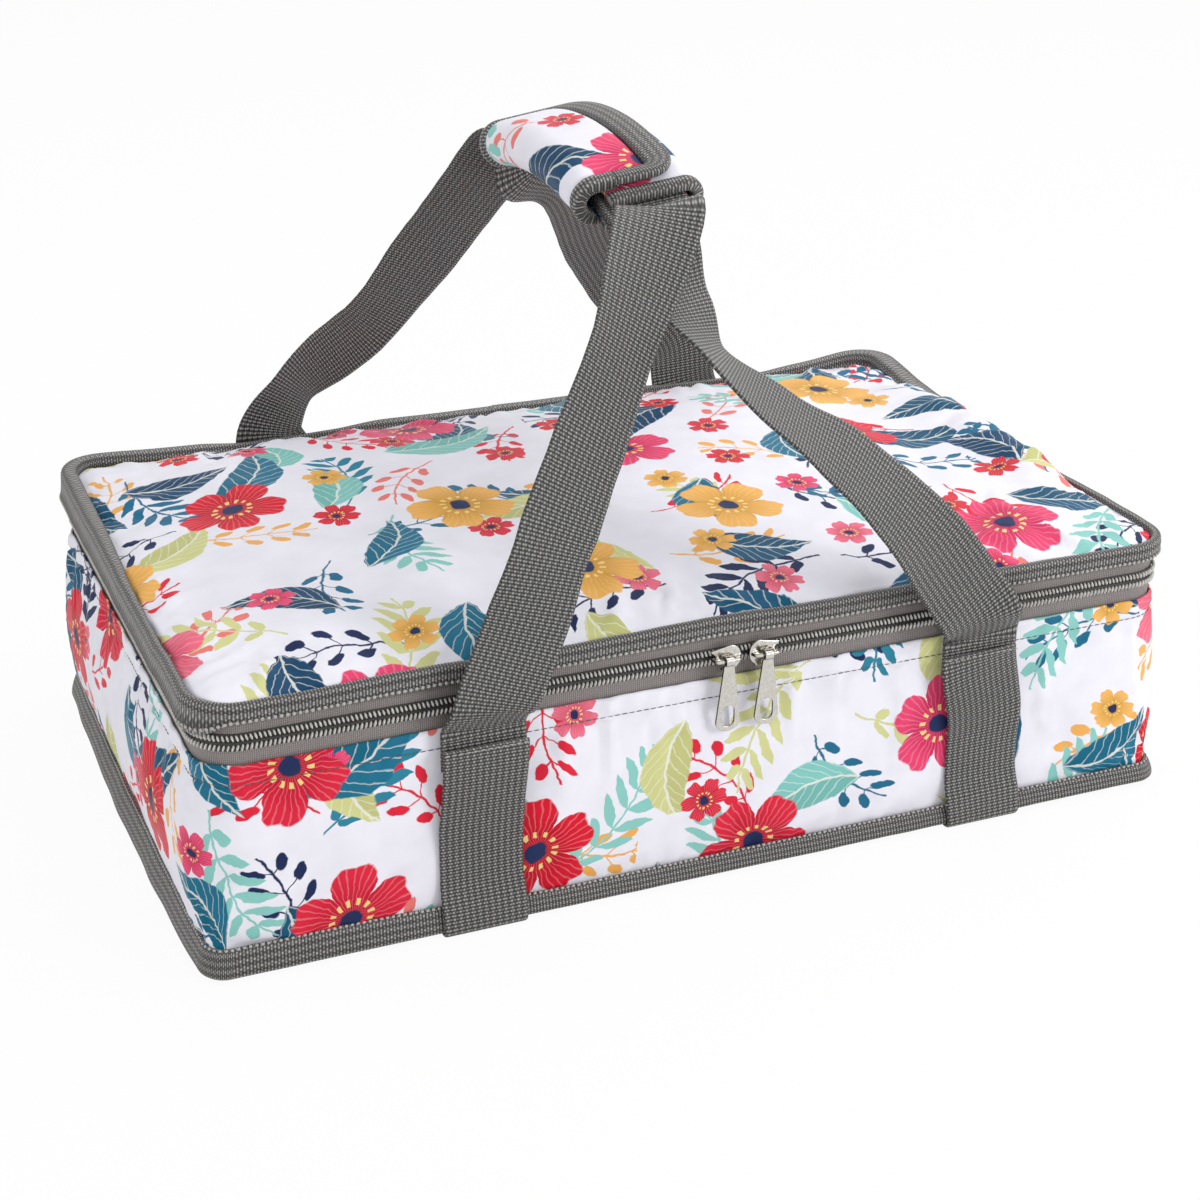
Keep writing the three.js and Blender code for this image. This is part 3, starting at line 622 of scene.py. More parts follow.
def round_wall(offset, height, pick=None):
    """Points round the wall, or part of it, at an offset and a height that may both change along it."""
    pick = slice(None) if pick is None else pick
    # From its sharp corners at the bottom edge, the wall is fully round at this height.
    full_round = 75
    low = np.reshape(1 - smooth(np.asarray(height) / full_round), (-1, 1))
    flat = PLACES[pick] * (1 - low) + LOW_PLACES[pick] * low
    facing = NORMALS[pick] * (1 - low) + LOW_NORMALS[pick] * low
    flat = flat + unit(facing) * np.reshape(offset, (-1, 1))
    flat[:, 0] += fuller_end(flat[:, 0], offset)
    return np.concatenate([flat, np.broadcast_to(np.reshape(height, (-1, 1)), (len(flat), 1))], 1)


def rounded(section, passes=2):
    """Cuts the corners off a closed section until it is smooth."""
    for _ in range(passes):
        after = np.roll(section, -1, 0)
        section = np.stack([section * 0.75 + after * 0.25, section * 0.25 + after * 0.75], 1).reshape(-1, 2)
    return section


def still(offset, height):
    """How a strip that doesn't wave lies."""
    return offset, height


def band(name, section, pick=None, wave=still):
    """A strip of a given section round the wall, or part of it, that may wave in and out or up and down."""
    grid = np.stack([round_wall(*wave(o, z), pick) for o, z in section], 1)
    around = lengths(np.concatenate([section, section[:1]]))
    along = RUN if pick is None else lengths(PLACES[pick])
    return loft(name, grid, along, around, closed=(pick is None, True), capped=pick is not None)


def box_section(inner, outer, low, high, parts=1):
    """A closed upright section between two offsets and two heights."""
    heights = np.linspace(low, high, parts + 1)
    return np.array([(outer, z) for z in heights] + [(inner, z) for z in heights[::-1]])


def panel(name, offset, height, cell=2.5):
    """A level cloth panel with rounded corners, whose height is a number or a function of x and y."""
    wide, deep, radius = HALF_LENGTH + offset, HALF_DEPTH + offset, CORNER + offset
    x, y = np.meshgrid(
        np.linspace(-wide, wide, round(2 * wide / cell) + 1),
        np.linspace(-deep, deep, round(2 * deep / cell) + 1),
        indexing="ij",
    )
    a = np.clip((abs(x) - wide + radius) / radius, 0, 1)
    b = np.clip((abs(y) - deep + radius) / radius, 0, 1)
    flat_x = x - np.sign(x) * radius * a * (1 - np.sqrt(1 - b * b / 2))
    flat_y = y - np.sign(y) * radius * b * (1 - np.sqrt(1 - a * a / 2))
    z = height(flat_x, flat_y) if callable(height) else np.full_like(x, height)
    grid = np.stack([flat_x + fuller_end(flat_x, offset), flat_y, z], 2)
    piece = loft(name, grid, x[:, 0], y[0], closed=(False, False))
    edge = np.zeros(x.shape, bool)
    edge[[0, -1], :] = edge[:, [0, -1]] = True
    return piece, np.flatnonzero(edge.ravel())


def make_wall():
    """The printed band round the bag: it swells a little between its seams and is held flat by the straps."""
    # The rows of cloth, from inside the bottom edge to the hem, lie closest at the stitches.
    stitched = STITCH_HEIGHT + np.array([-0.6, 0.0, 0.6])
    heights = np.concatenate([np.linspace(3.4, 78.5, 30), stitched, np.linspace(82, HEM_TOP, 4)])
    free = np.where(UNDER_STRAP, 0.0, 1.0)
    for _ in range(3):
        free = (np.roll(free, 1) + free + np.roll(free, -1)) / 3 * (free > 0)
    grid = []
    for z in heights:
        # Puckers crowd at the stitches, and fade sooner above them than below.
        below = STITCH_HEIGHT - z
        fade = math.exp(-((below / (24 if below > 0 else 9)) ** 2)) * min(abs(below) / 1.5, 1)
        pucker = 1.15 * ripple(ALONG, 13, 3) * fade
        # Longer slack waves lie between the seams, and the two ends bulge.
        slack = ripple(ALONG, 50, 4) * hump((z - 13) / 66)
        full = 3.2 * hump((z - 8) / 72) * smooth(abs(NORMALS[:, 0]))
        out = np.maximum(pucker, -0.1) + np.maximum(slack, 0) + full
        grid.append(round_wall(out * free * (HEM_TOP - z > 1), z))
    grid = np.stack(grid, 1)
    piece = loft("side_band", grid, RUN, heights, closed=(True, False))
    # The seams: the bottom edge, the stitches, the hem's top, and the cloth under the straps.
    held = np.zeros(grid.shape[:2], bool)
    held[:, (heights < 9) | (abs(heights - STITCH_HEIGHT) < 0.8) | (heights > 87)] = True
    held[UNDER_STRAP] = True
    swell(piece, np.flatnonzero(held.ravel()), pressure=1.6, growth=0.02, cap=2.4)
    thicken(piece, 0.8)
    settle(piece, SATIN, "printed_fabric", "bag", "side_cover")


def make_lid():
    """The printed lid: foam under cloth, crowned, and puckered where the binding holds it."""
    wide, deep = HALF_LENGTH - LID_INSET, HALF_DEPTH - LID_INSET

    def crown(x, y):
        """The cloth's height: puckers close to the edge, a broad rumple and the foam's crown."""
        share = np.maximum(abs(x) / wide, abs(y) / deep)
        end, side = wide - abs(x), deep - abs(y)
        near = np.minimum(end, side)
        edge = np.where(side < end, x + 0.35 * side * np.sign(x), y + 0.35 * end * np.sign(y))
        pucker = ripple(edge, 19, 7) * np.exp(-((near / 24) ** 2)) * (1 - np.exp(-((near / 6) ** 2)))
        rumple = ripple(x + 0.4 * y, 85, 8) * ripple(y - 0.3 * x, 70, 9) * np.clip(near / 40, 0, 1)
        # At the right end the cloth is full right up to its edge.
        full = 8.5 * np.exp(-(((x - 188) / 17) ** 2) - (y / 72) ** 4) * (1 - np.exp(-((end / 4.5) ** 2)))
        base = LID_EDGE + LID_CROWN * (1 - share**3.2)
        return base + np.maximum(2.0 * pucker, -0.3) + 1.2 * rumple + full

    piece, edge = panel("lid_panel", -LID_INSET, crown)
    swell(piece, edge, pressure=0.8, growth=0.015, cap=2.2)
    thicken(piece, 0.9)
    settle(piece, SATIN, "printed_fabric", "lid", "lid_cover")


make_wall()
make_lid()
# The bottom lip's section, how slim it is along the wall, and how much each place is at the left end.
LIP = [[0.35, 7.7], [2.6, LIP_FOOT], [3.8, LIP_FOOT], [5, 3.82], [2.9, 12.3], [1.7, 13.5], [0.35, 13.5]]
SLIM = 1 - 0.33 * smooth((LOW_PLACES[:, 0] + 150) / 90)
LEFT_END = smooth((-NORMALS[:, 0] - 0.2) / 0.7)


def lip_wave(offset, height):
    """The bottom edge stands full at the left end, where it flares, and lies slimmer along the rest."""
    sway = 0.25 * ripple(ALONG, 45, 12) + 3.6 * LEFT_END * (1 - (LOW_PLACES[:, 1] / HALF_DEPTH) ** 2)
    return offset + np.maximum(sway * offset / 5, 0.0), LIP_FOOT + (height - LIP_FOOT) * SLIM


def lid_wave(offset, height):
    """The lid's edge is a little uneven. Along the back it stands higher and broader, most at its corners,
    and at the left end it hangs over the zip."""
    # How far each place is from a corner at the back, and from a strap that presses the edge down.
    away = np.hypot(abs(PLACES[:, 0]) - 194, PLACES[:, 1] - 118)
    pressed = np.min([abs(PLACES[:, 0] - x) for x in (LEFT_STRAP, RIGHT_STRAP)], 0)
    back = smooth((PLACES[:, 1] + 60) / 140) * smooth((pressed - 20) / 25)
    hang = LEFT_END * np.clip((LID_BAND - height) / LID_BAND_HALF, 0, 1)
    lift = (3.5 + np.sign(PLACES[:, 0])) * np.exp(-((away / 26) ** 2))
    lift = lift + 0.35 * ripple(ALONG, 70, 14) + 1.6 * back * (height > 109)
    lift = lift - 1.8 * (NORMALS[:, 0] > 0.9) * np.exp(-((PLACES[:, 1] / 70) ** 4))
    spread = 0.15 * ripple(ALONG, 30, 13) - 3.0 * back * (offset < -0.5)
    return offset + spread + 1.6 * hang, height + lift - 5.5 * hang


bottom = band("bottom_edge", rounded(np.array(LIP)), wave=lip_wave)
settle(bottom, BINDING, "binding", "bag", "bottom_binding")
# The lid's binding in section, a plump rounded box.
turn = np.linspace(0, 2 * np.pi, 29)[:-1]
swell_in, swell_up = np.cos(turn), np.sin(turn)
cross = np.stack(
    [
        -0.25 + 2.25 * np.sign(swell_in) * abs(swell_in) ** 0.5,
        LID_BAND + LID_BAND_HALF * np.sign(swell_up) * abs(swell_up) ** 0.6,
    ],
    1,
)
settle(band("lid_edge", cross, wave=lid_wave), BINDING, "binding", "lid", "lid_binding")
for row, low, high, parts, body in (
    ("lower", ZIP_FOOT, 97.0, 4, "bag"),
    ("upper", 97.3, ZIP_HEAD, 3, "lid"),
):
    tape = band(f"zip_tape_{row}", box_section(-2.0, -1.3, low, high, parts), FORWARD)
    settle(tape, ZIP_TAPE, "zip_tape", body, f"{row}_zip_tape")
# The hinge strip laps the zip's two ends.
beyond = np.concatenate([BACKWARD[0] + np.array([-2, -1]), BACKWARD, BACKWARD[-1] + np.array([1, 2])])
hinge = band("hinge_strip", box_section(-2.1, -1.2, ZIP_FOOT, ZIP_HEAD, 16), beyond % len(PLACES))
settle(hinge, BINDING, "binding", None, "back_hinge_strip")
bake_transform(hinge)
# The lining's section: up the inside of the wall and out over the foam's top.
inside = [[-LINING_IN, z] for z in np.linspace(10.8, 81.1, 24)]
inside += [[-2.4, 81.1], [-2.4, 80.3], [-6.6, 80.3], [-6.6, 10.8]]
lining = settle(band("wall_lining", np.array(inside)), FOIL, "foil_lining", "bag", "side_lining")
for name, offset, top, thickness, material, slot, body, node, held, under in (
    ("floor_lining", -7.7, 11.6, 0.8, FOIL, "foil_lining", "bag", "base_lining", "laid", "base_foam"),
    ("lid_lining_sheet", -2.8, 106.6, 0.8, FOIL, "foil_lining", "lid", "lid_lining", "stretched", "lid_foam"),
    ("floor_cover", -0.4, 2.9, 1.0, SATIN, "printed_fabric", "bag", "base_cover", "stretched", "base_board"),
):
    sheet, _ = panel(name, offset, top, 6.0)
    settle(thicken(sheet, thickness), material, slot, body, node)

# Straps.


def centripetal(stops, parts):
    """A smooth line through the stops, as the part's source draws it."""
    points = []
    for k in range(len(stops) - 1):
        start, end = stops[k], stops[k + 1]
        before = stops[k - 1] if k else 2 * start - end
        after = stops[k + 2] if k + 2 < len(stops) else 2 * end - start
        steps = ((before, start), (start, end), (end, after))
        first, middle, last = (max(np.linalg.norm(b - a) ** 0.5, 1e-4) for a, b in steps)
        leave = (start - before) / first - (end - before) / (first + middle) + (end - start) / middle
        arrive = (end - start) / middle - (after - start) / (middle + last) + (after - end) / last
        leave, arrive = leave * middle, arrive * middle
        bend = 3 * (end - start) - 2 * leave - arrive
        close = 2 * (start - end) + leave + arrive
        for share in np.arange(parts) / parts:
            points.append(start + leave * share + bend * share**2 + close * share**3)
    return np.array(points + [stops[-1]])


def ribbon(name, middle, twist):
    """A woven strap along a line: flat, with soft rounded edges that wander a little."""
    run = unit(np.gradient(middle, axis=0))
    across = unit(np.array([1.0, 0, 0]) - run * run[:, :1])
    square = np.cross(run, across)
    angle = np.radians(twist)[:, None]
    wide = across * np.cos(angle) + square * np.sin(angle)
    face = square * np.cos(angle) - across * np.sin(angle)
    half, thick = STRAP_WIDTH / 2, STRAP_THICKNESS / 2
    flat = np.linspace(-half + STRAP_EDGE, half - STRAP_EDGE, 13)
    edge = np.linspace(np.pi / 2, -np.pi / 2, 7)[1:-1]
    top = np.stack([flat, np.full(len(flat), thick)], 1)
    right = np.stack([half - STRAP_EDGE + STRAP_EDGE * np.cos(edge), thick * np.sin(edge)], 1)
    section = np.concatenate([top, right, top[::-1] * [1, -1], right[::-1] * [-1, 1]])
    along = lengths(middle)
    wander = 1 + 0.008 * ripple(along, 24, 5)
    grid = middle[:, None] + section[None, :, :1] * wide[:, None] * wander[:, None, None]
    grid = grid + section[None, :, 1:] * face[:, None]
    around = np.append(section[:, 0], section[0, 0])
    return loft(name, grid, along, around, capped=True)


def grip_point(x, out, angle):
    """A point of the arched grip: across it, out from its line, and round its arch."""
    roll = math.radians(GRIP_ROLL)
    aside = x * math.cos(roll) - out * math.sin(roll)
    reach = GRIP_RADIUS + x * math.sin(roll) + out * math.cos(roll)
    up = reach * np.cos(angle) - GRIP_RADIUS
    parts = (GRIP_X + aside, GRIP_Y + reach * np.sin(angle), GRIP_HEIGHT + up)
    return np.stack(np.broadcast_arrays(*parts), -1)


def grip_angle(length):
    """Half the angle that a length of the grip spans on its arch."""
    return math.asin(length / 2 / GRIP_RADIUS)


def base_strap(name, x, sway, node):
    """The strap under the bag: from over the handle's end, down the front, round the bottom edge and up
    the back."""

    def curve(a, b, c):
        """A bend from one point to another, drawn towards the one between."""
        share = np.linspace(0, 1, 9)[:, None]
        start, between, end = (1 - share) ** 2, 2 * share * (1 - share), share**2
        return start * np.array(a) + between * np.array(b) + end * np.array(c)

    # The strap's middle as depth and height, down the front and then mirrored up the back.
    floor = STRAP_THICKNESS / 2
    height = np.linspace(FOLD_TOP, 27, 34)
    drop = np.stack([STRAP_FACE + HEM_OUT * smooth((height - 32) / 46), height], 1)
    over = curve((STRAP_FACE, 25.1), (STRAP_FACE, 19.3), (132.1, 13.5))
    under = curve((134.1, 4.3), (134.1, floor), (130.1, floor))
    half = np.concatenate([drop, over, under])
    flat = np.stack([np.linspace(UNDER_HALF, -UNDER_HALF, 50), np.full(50, floor)], 1)
    line = np.concatenate([half, flat, half[::-1] * [-1, 1]])
    # The strap sways aside in full this far below its hem, its hem lies a share of that the other way,
    # and under the bag it comes back into line.
    full_drop, hem_share = 38, 0.2
    down = smooth((FOLD_TOP - line[:, 1]) / full_drop) - hem_share * line[:, 1] / FOLD_TOP
    aside = sway * down * np.clip(line[:, 0] / (2 * UNDER_HALF) + 0.5, 0, 1)
    middle = np.stack([x + aside, -line[:, 0], line[:, 1]], 1)
    piece = ribbon(name, middle, np.zeros(len(line)))
    settle(piece, WEBBING, "webbing", "bag", node)


def handle_line(x, out, front, back, parts=9):
    """The line and twist of one handle, from the front of the bag over the grip to the back."""
    pad_end = grip_angle(PAD_END)

    def leg(side, bends):
        """The stops and twists from the stitched lap up to the grip, from each bend's rise and shift."""
        end = grip_point(0, out, side * pad_end)
        # The lap is stitched down, so the handle rises straight out of it.
        stops = [(np.array([x, side * LAP_FACE, z]), 0) for z in (72, 78, 84)]
        stops.append((np.array([x, side * (LAP_FACE + 0.3), 88]), 0))
        for rise, across, twist in bends:
            lean = (max(rise - LEAN_FROM, 0) / (1 - LEAN_FROM)) ** 1.5
            place = (
                x + (end[0] - x) * across,
                side * PASS_FACE * (1 - lean) + end[1] * lean + side * LEG_SPREAD * out * lean**0.5,
                LEG_START + (end[2] - LEG_START) * rise,
            )
            stops.append((np.array(place), twist * np.sign(x)))
        return stops

    shares = np.array([-1.12, -1, -0.9, -0.75, -0.5, 0, 0.5, 0.75, 0.9, 1, 1.12])
    spread = np.where(abs(shares) > 1, LEG_SPREAD, 1)
    top = [(grip_point(0, out * k, s * pad_end), -GRIP_ROLL) for s, k in zip(shares, spread)]
    stops = leg(-1, front) + top + leg(1, back)[::-1]
    line = centripetal([p for p, _ in stops], parts)
    place = np.minimum(np.arange(len(line)) / parts, len(stops) - 1 - 1e-9)
    twist = np.array([t for _, t in stops], float)
    k = place.astype(int)
    return line, twist[k] + (twist[k + 1] - twist[k]) * smooth(place - k)


# Each handle's place, its layer in the grip, and its front and back bends: rise, shift across and twist.
HANDLES = {
    "left": (
        LEFT_STRAP,
        RUN_OFFSET,
        [(0.1, 0.022, 0), (0.26, 0.15, 0), (0.45, 0.292, -11), (0.6, 0.457, -20), (0.76, 0.666, -30)],
        [
            (0.1, -0.03, 4), (0.17, -0.085, 12), (0.3, 0.06, 32),
            (0.45, 0.452, 6), (0.7, 0.744, -10), (0.9, 0.895, -12),
        ],
    ),
    "right": (
        RIGHT_STRAP,
        -RUN_OFFSET,
        [
            (0.1, 0.034, 0), (0.18, 0.109, 6), (0.35, 0.294, 17), (0.51, 0.508, 26),
            (0.62, 0.702, 37), (0.74, 0.885, 48), (0.84, 0.946, 26),
        ],
        [(0.16, 0.07, 0), (0.31, 0.105, 0), (0.48, 0.36, 0), (0.65, 0.56, 0), (0.87, 0.79, 0)],
    ),
}
base_strap("strap_under_left", LEFT_STRAP, LEFT_SWAY, "left_base_strap")
base_strap("strap_under_right", RIGHT_STRAP, RIGHT_SWAY, "right_base_strap")
for hand, route in HANDLES.items():
    strap = ribbon(f"handle_{hand}", *handle_line(*route))
    settle(strap, WEBBING, "webbing", None, f"{hand}_handle_strap")
    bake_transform(strap)

# Padded grip.


def arc(x, out, radius, start, end, count):
    """Part of a circle across the grip, between two angles in degrees."""
    turn = np.radians(np.linspace(start, end, count))
    return np.stack([x + radius * np.cos(turn), out + radius * np.sin(turn)], 1)


# The grip's cloth in section: the pad from its open side round the right, the flap round the left.
PAD_LINE = np.concatenate(
    [
        np.linspace((-13.8, 5.1), (16, 5.1), 14),
        arc(17, 0, 5.1, 90, -90, 13),
        np.linspace((16, -5.1), (-17, -5.1), 14),
    ]
)
FLAP_TURN = arc(-17.3, 2.75, 7.85, 90, 270, 17)
FLAP_LINE = np.concatenate([np.linspace((3.5, FLAP_OUT), (-16.5, FLAP_OUT), 10), FLAP_TURN])
RIM_LINE = np.concatenate([np.linspace((-8, FLAP_OUT), (-16.5, FLAP_OUT), 6), FLAP_TURN])


def wrap(name, line, reach, thick, puff=0.0, side=1, sections=33, inside=0.0, crosswise=False):
    """A padded or bound sheet that follows a line across the grip and runs along its arch."""
    run = unit(np.gradient(line, axis=0))
    normal = np.stack([-run[:, 1], run[:, 0]], 1) * side
    along = np.linspace(reach[0], reach[1], sections)
    share = (along - reach[0]) / (reach[1] - reach[0])
    fill = np.clip(np.sin(np.pi * share), 0, 1) ** 0.4
    measure = lengths(line)
    ends = np.clip(np.minimum(measure, measure[-1] - measure) / 3, 0, 1) ** 0.5
    # The sheet thins to under half at its edges.
    outer = thick / 2 * (0.45 + 0.55 * fill[:, None] * ends) + puff * fill[:, None] * ends
    inner = (thick / 2 + inside) * (0.45 + 0.55 * fill[:, None] * ends)
    x, out = (
        np.concatenate([line[:, k] + normal[:, k] * outer, (line[:, k] - normal[:, k] * inner)[:, ::-1]], 1)
        for k in (0, 1)
    )
    angle = np.arcsin(along / GRIP_RADIUS)[:, None]
    around = np.concatenate([measure, measure[::-1], measure[:1]])
    # Where on the print the grip's cloth is cut.
    aside, up = 70, 30
    grid = grip_point(x, out, angle)
    return loft(name, grid, along + aside, around + up, capped=True, crosswise=crosswise)


pad = wrap("grip_pad_cloth", PAD_LINE, (-52.5, 52.5), 3.2, 0.5)
settle(pad, SATIN, "printed_fabric", "right_handle", "grip_pad")
for name, low, high in (("front", -57.8, -52.0), ("back", 52.0, 57.8)):
    edge = wrap(f"grip_pad_{name}_edge", PAD_LINE, (low, high), 5.0, sections=9, crosswise=True)
    settle(edge, BINDING, "binding", "right_handle", f"grip_pad_{name}_binding")
flap = wrap("grip_flap_cloth", FLAP_LINE, (-47.5, 47.5), 3.2, 0.8, side=-1)
settle(flap, SATIN, "printed_fabric", "grip_flap", "grip_flap")


def corner_path(end, side, radius):
    """Half of a rim's line round the flap's free end, from its front edge to the middle of its side."""
    bend = np.radians(np.linspace(-90, 0, 9))
    turned = np.stack([side - radius + radius * np.cos(bend), -end + radius + radius * np.sin(bend)], 1)
    lead = np.linspace((-10, -end), turned[0], 9)[:-1]
    tail = np.linspace(turned[-1], (side, 0), 14)[1:]
    return np.concatenate([lead, turned, tail])


def side_rim():
    """The binding round the flap's free edge, broad along its side and rounded at both corners."""
    outer, inner = corner_path(52.9, 16.0, 10), corner_path(47.0, 4.6, 1)
    outer, inner = (np.concatenate([half, half[-2::-1] * [1, -1]]) for half in (outer, inner))
    share = np.array([0, 0.03, 0.1, 0.25, 0.5, 0.8, 1])
    high = 2.1 * np.array([0.3, 0.62, 0.9, 1, 1, 0.9, 0.5])
    share, high = np.concatenate([share, share[::-1]]), np.concatenate([high, -high[::-1]])
    flat = outer[:, None] + (inner - outer)[:, None] * share[None, :, None]
    grid = grip_point(flat[..., 0], FLAP_OUT + high[None], np.arcsin(flat[..., 1] / GRIP_RADIUS))
    width = 11
    return loft("grip_flap_side_edge", grid, lengths(outer), np.append(share, share[0]) * width, capped=True)


rims = []
for name, reach in (("front", (-52.8, -47.0)), ("back", (47.0, 52.8))):
    name = f"grip_flap_{name}_edge"
    rims.append(wrap(name, RIM_LINE, reach, 4.2, side=-1, sections=9, inside=2.0, crosswise=True))
for rim in (*rims, side_rim()):
    settle(rim, BINDING, "binding", "grip_flap", "grip_flap_binding")
for name, out, body in (("loop_patch", 7.35, "right_handle"), ("hook_patch", 8.35, "grip_flap")):
    patch = wrap(f"{name}_tape", np.linspace((-12.8, out), (3.2, out), 12), (-36, 36), 0.7)
    settle(patch, HOOKS, "hook_and_loop", body, name)

# Zip and stitches.


def row_tree():
    """Geometry Nodes: sets one small rounded shape after another along a line, at an even pitch."""
    tree = bpy.data.node_groups.new("sewn_row", "GeometryNodeTree")
    tree.interface.new_socket("Line", in_out="INPUT", socket_type="NodeSocketGeometry")
    for label in ("Pitch", "Long", "Deep", "High", "Lean"):
        tree.interface.new_socket(label, in_out="INPUT", socket_type="NodeSocketFloat")
    tree.interface.new_socket("Finish", in_out="INPUT", socket_type="NodeSocketMaterial")
    tree.interface.new_socket("Row", in_out="OUTPUT", socket_type="NodeSocketGeometry")
    node = partial(put, tree)
    given, out = node("NodeGroupInput"), node("NodeGroupOutput")
    line, pitch, long, deep, high, lean, finish = given.outputs[:7]
    curve = node("GeometryNodeMeshToCurve", line)
    even = node("GeometryNodeResampleCurve", {"Curve": curve, "Length": pitch}, mode="LENGTH")
    ball = node("GeometryNodeMeshUVSphere", {"Segments": 6, "Rings": 4, "Radius": 0.5})
    bead = node("GeometryNodeTransform", {"Geometry": ball, "Scale": node("combine", long, deep, high)})
    tilt = node("combine", None, lean)
    tilted = node("GeometryNodeTransform", {"Geometry": bead, "Rotation": tilt})
    tangent = node("GeometryNodeInputTangent")
    facing = node("FunctionNodeAlignRotationToVector", {"Vector": tangent}, axis="X")
    spread = node("FunctionNodeRandomValue", {2: 0.93, 3: 1.05, "Seed": 11}, data_type="FLOAT")
    settings = {"Points": even, "Instance": tilted, "Rotation": facing, "Scale": spread.outputs[1]}
    real = node("GeometryNodeRealizeInstances", node("GeometryNodeInstanceOnPoints", settings))
    soft = node("GeometryNodeSetShadeSmooth", real)
    feed(out, node("GeometryNodeSetMaterial", {"Geometry": soft, "Material": finish}))
    return tree


ROW = row_tree()


def sewn_row(name, runs, pitch, size, material, slot, body, lean=0.0, nodes=()):
    """Stitches or zip teeth along one or more lines."""
    points, edges = [], []
    for run in runs:
        edges += [(len(points) + k, len(points) + k + 1) for k in range(len(run) - 1)]
        points += (np.asarray(run) * MM).tolist()
    mesh = bpy.data.meshes.new(name)
    mesh.from_pydata(points, edges, [])
    piece = link(name, mesh)
    row = piece.modifiers.new("row", "NODES")
    row.node_group = ROW
    values = dict(zip(("Pitch", "Long", "Deep", "High"), (pitch * MM, *(s * MM for s in size))))
    values.update(Lean=lean, Finish=material)
    for item in ROW.interface.items_tree:
        if item.in_out == "INPUT" and item.name in values:
            row[item.identifier] = values[item.name]
    apply_modifiers(piece)
    settle(piece, None, slot, body, *nodes)


def loop(offset, height, pick=None):
    """A line round the wall for a row of stitches or teeth."""
    line = round_wall(offset, height, pick)
    return np.concatenate([line, line[:1]]) if pick is None else line


# Dark strips behind each row of teeth: painted shade in the gaps between the teeth.
for row, low, high, body in (("lower", 93.5, 97.1, "bag"), ("upper", 97.3, 100.3, "lid")):
    seat = band(f"coil_seat_{row}", box_section(-1.3, -0.9, low, high, 2), FORWARD)
    settle(seat, SEAT, "zip_coil", body)
# Each tooth or stitch: its pitch, and then its length along the row, its depth and its height.
TOOTH = (1.7, (1.0, 1.8, 2.8))
HEM_STITCH = (3.0, (2.8, 0.4, 0.45))
KNOT = (2.3, (1.6, 0.9, 1.5))
LAP_STITCH, LAP_HALF = (2.6, (2.1, 0.4, 0.5)), 15.5
for row, height, lean, body in (("lower", LOWER_COIL, 0.3, "bag"), ("upper", UPPER_COIL, -0.3, "lid")):
    line = loop(0.1, height, FORWARD)
    sewn_row(f"teeth_{row}", [line], *TOOTH, COIL, "zip_coil", body, lean, [f"{row}_zip_coil"])
sewn_row("hem_stitches", [loop(0.1, STITCH_HEIGHT)], *HEM_STITCH, DARK_THREAD, "binding", "bag")
for edge, line, body in (
    ("lid", loop(*lid_wave(1.95, 106.6)), "lid"),
    ("bottom", loop(*lip_wave(1.95, 13.2)), "bag"),
):
    sewn_row(f"{edge}_edge_stitches", [line], *KNOT, PALE_THREAD, "binding", body)
laps = []
for x in (LEFT_STRAP, RIGHT_STRAP):
    for side in (-1, 1):
        face = side * (STRAP_FACE + HEM_OUT + STRAP_THICKNESS / 2 + 0.05)
        laps.append([(x - LAP_HALF, face, FOLD_TOP - 1), (x + LAP_HALF, face, FOLD_TOP - 1)])
sewn_row("strap_stitches", laps, *LAP_STITCH, PALE_THREAD, "webbing", "bag")


def casting(name, part):
    """A plated casting from the part's own solid: melted smooth, the pull a little broader."""
    cast = link(f"{name}_casting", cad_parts[name].data.copy())
    shell = bmesh.new()
    shell.from_mesh(cast.data)
    bmesh.ops.remove_doubles(shell, verts=shell.verts, dist=1e-6)
    middle = (min(v.co.x for v in shell.verts) + max(v.co.x for v in shell.verts)) / 2
    # A pull grows broader below its neck.
    neck, below = 92, 12
    for v in shell.verts:
        broad = PULL_BROAD * smooth((neck - v.co.z / MM) / below) if part == "pull" else 0
        v.co.x += (v.co.x - middle) * broad
    shell.to_mesh(cast.data)
    shell.free()
    melt = cast.modifiers.new("melt", "REMESH")
    melt.mode, melt.voxel_size, melt.use_smooth_shade = "VOXEL", 0.2 * MM, True
    ease = cast.modifiers.new("ease", "SMOOTH")
    ease.factor, ease.iterations = 0.5, 5 if part == "pull" else 30
    apply_modifiers(cast)
    cast.data.shade_smooth()
    settle(cast, NICKEL, "nickel", name, name)


for side in ("left", "right"):
    for part in ("slider", "pull"):
        casting(f"{side}_{part}", part)

# The stiff pieces inside stay as the source has them.
for name in ("base_board", "base_foam", "front_foam", "right_foam", "back_foam", "left_foam", "lid_foam"):
    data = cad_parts[name].data
    data.materials.clear()
    data.materials.append(BOARD if name == "base_board" else FOAM)

# Floor, light and camera.


def seen(node):
    """Whether a ray shows a surface to the camera, straight, by a glossy reflection or through a piece."""
    ray = node("ShaderNodeLightPath")
    either = node("maximum", ray.outputs["Is Camera Ray"], ray.outputs["Is Glossy Ray"])
    return node("maximum", either, ray.outputs["Is Transmission Ray"])


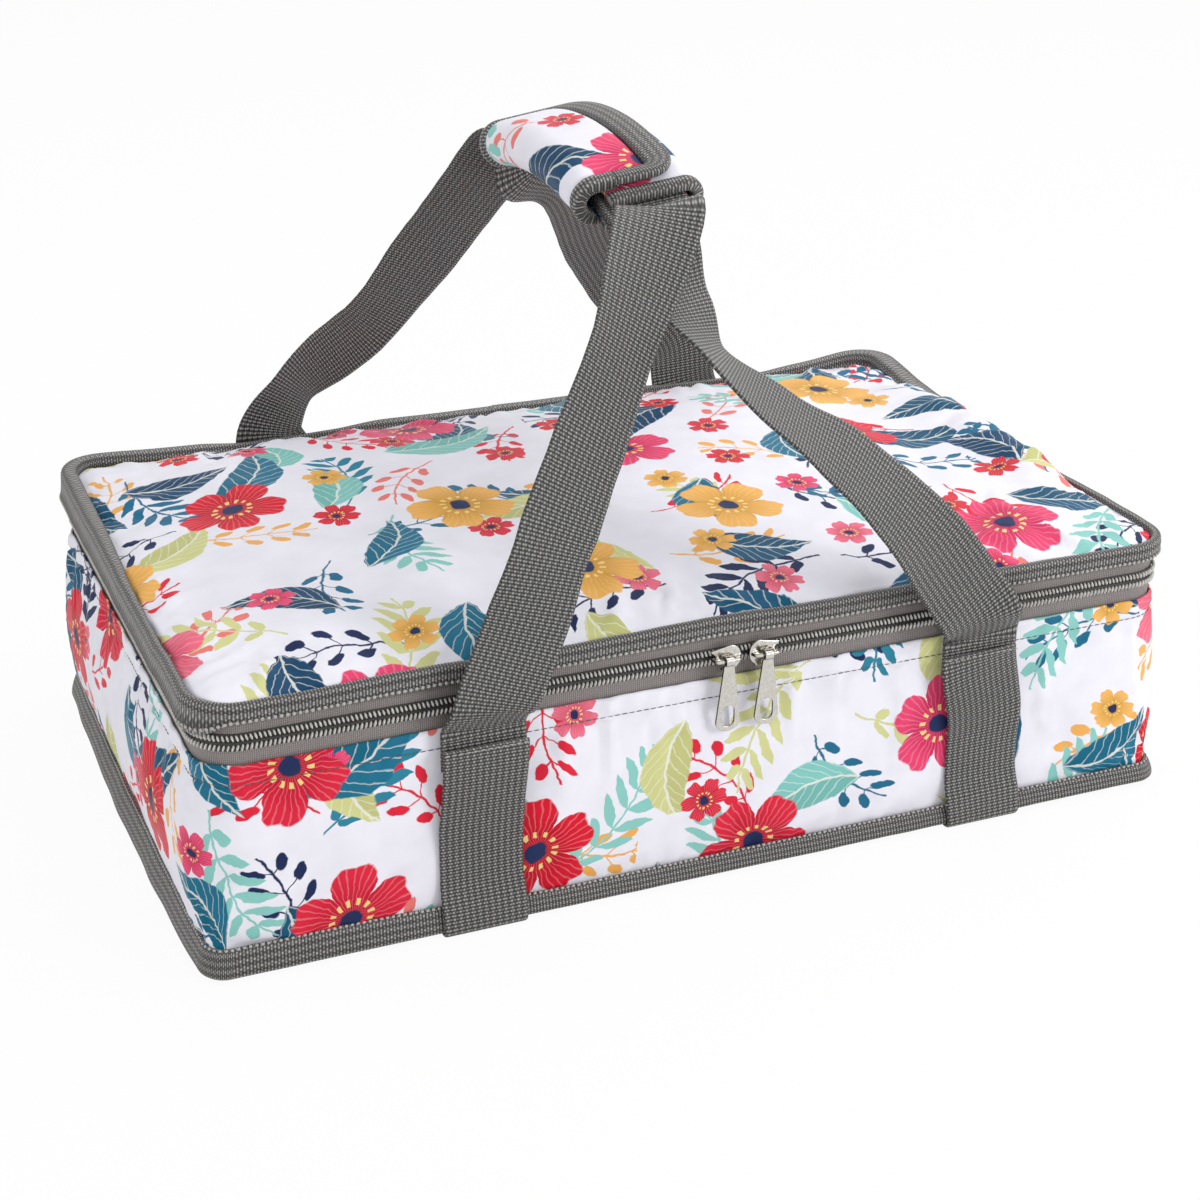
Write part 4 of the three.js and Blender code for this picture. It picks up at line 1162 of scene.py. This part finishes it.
def studio():
    """A white sweep, broad soft lamps, and the camera at the photograph's angle."""
    scene = bpy.context.scene
    scene.view_settings.view_transform = "Standard"
    bpy.ops.mesh.primitive_plane_add(size=14)
    floor = bpy.context.object
    floor.name = "studio_floor"
    material = bpy.data.materials.new("white_paper_sweep")
    node = bare_nodes(material)
    share = node("multiply", seen(node), 0.94)
    paper = node("ShaderNodeBsdfDiffuse", linear("#f4f4f4"))
    glow = node("ShaderNodeEmission", linear("#ffffff"), 1.0)
    node("ShaderNodeOutputMaterial", node("ShaderNodeMixShader", share, paper, glow))
    floor.data.materials.append(material)

    scene.world = bpy.data.worlds.new("studio_world")
    node = bare_nodes(scene.world)
    level = node("range", seen(node), 0.0, 1.0, 0.47, 1.0)
    node("ShaderNodeOutputWorld", node("ShaderNodeBackground", linear("#ffffff"), level))

    for name, place, size, watts in (
        ("overhead", (0.8, 0.2, 1.8), 2.2, 23.5),
        ("front_left", (-2.1, -0.8, 1.0), 1.2, 12),
        ("front_right", (1.3, -1.5, 0.9), 0.8, 16.5),
    ):
        lamp = bpy.data.lights.new(name, "AREA")
        lamp.size, lamp.energy = size, watts
        holder = link(name, lamp)
        holder.location = place
        aim = Vector((0, 0, 0.1)) - Vector(place)
        holder.rotation_euler = aim.to_track_quat("-Z", "Y").to_euler()

    # The camera's turn, rise and roll, and the point it looks at, as fitted to the photograph.
    turn, rise, roll = math.radians(-22.73), math.radians(24.418), math.radians(0.263)
    back = Vector((math.sin(turn) * math.cos(rise), -math.cos(turn) * math.cos(rise), math.sin(rise)))
    level_right = Vector((0, 0, 1)).cross(back).normalized()
    level_up = back.cross(level_right)
    right = level_right * math.cos(roll) + level_up * math.sin(roll)
    up = level_up * math.cos(roll) - level_right * math.sin(roll)
    camera = bpy.data.cameras.new("camera")
    camera.lens, camera.sensor_width = 67.87, 36
    holder = link("camera", camera)
    aim, distance = Vector((3.49, -1.47, 67.17)), 991.03
    place = aim * MM + back * distance * MM
    holder.matrix_world = Matrix.Translation(place) @ Matrix((right, up, back)).transposed().to_4x4()
    scene.camera = holder


studio()
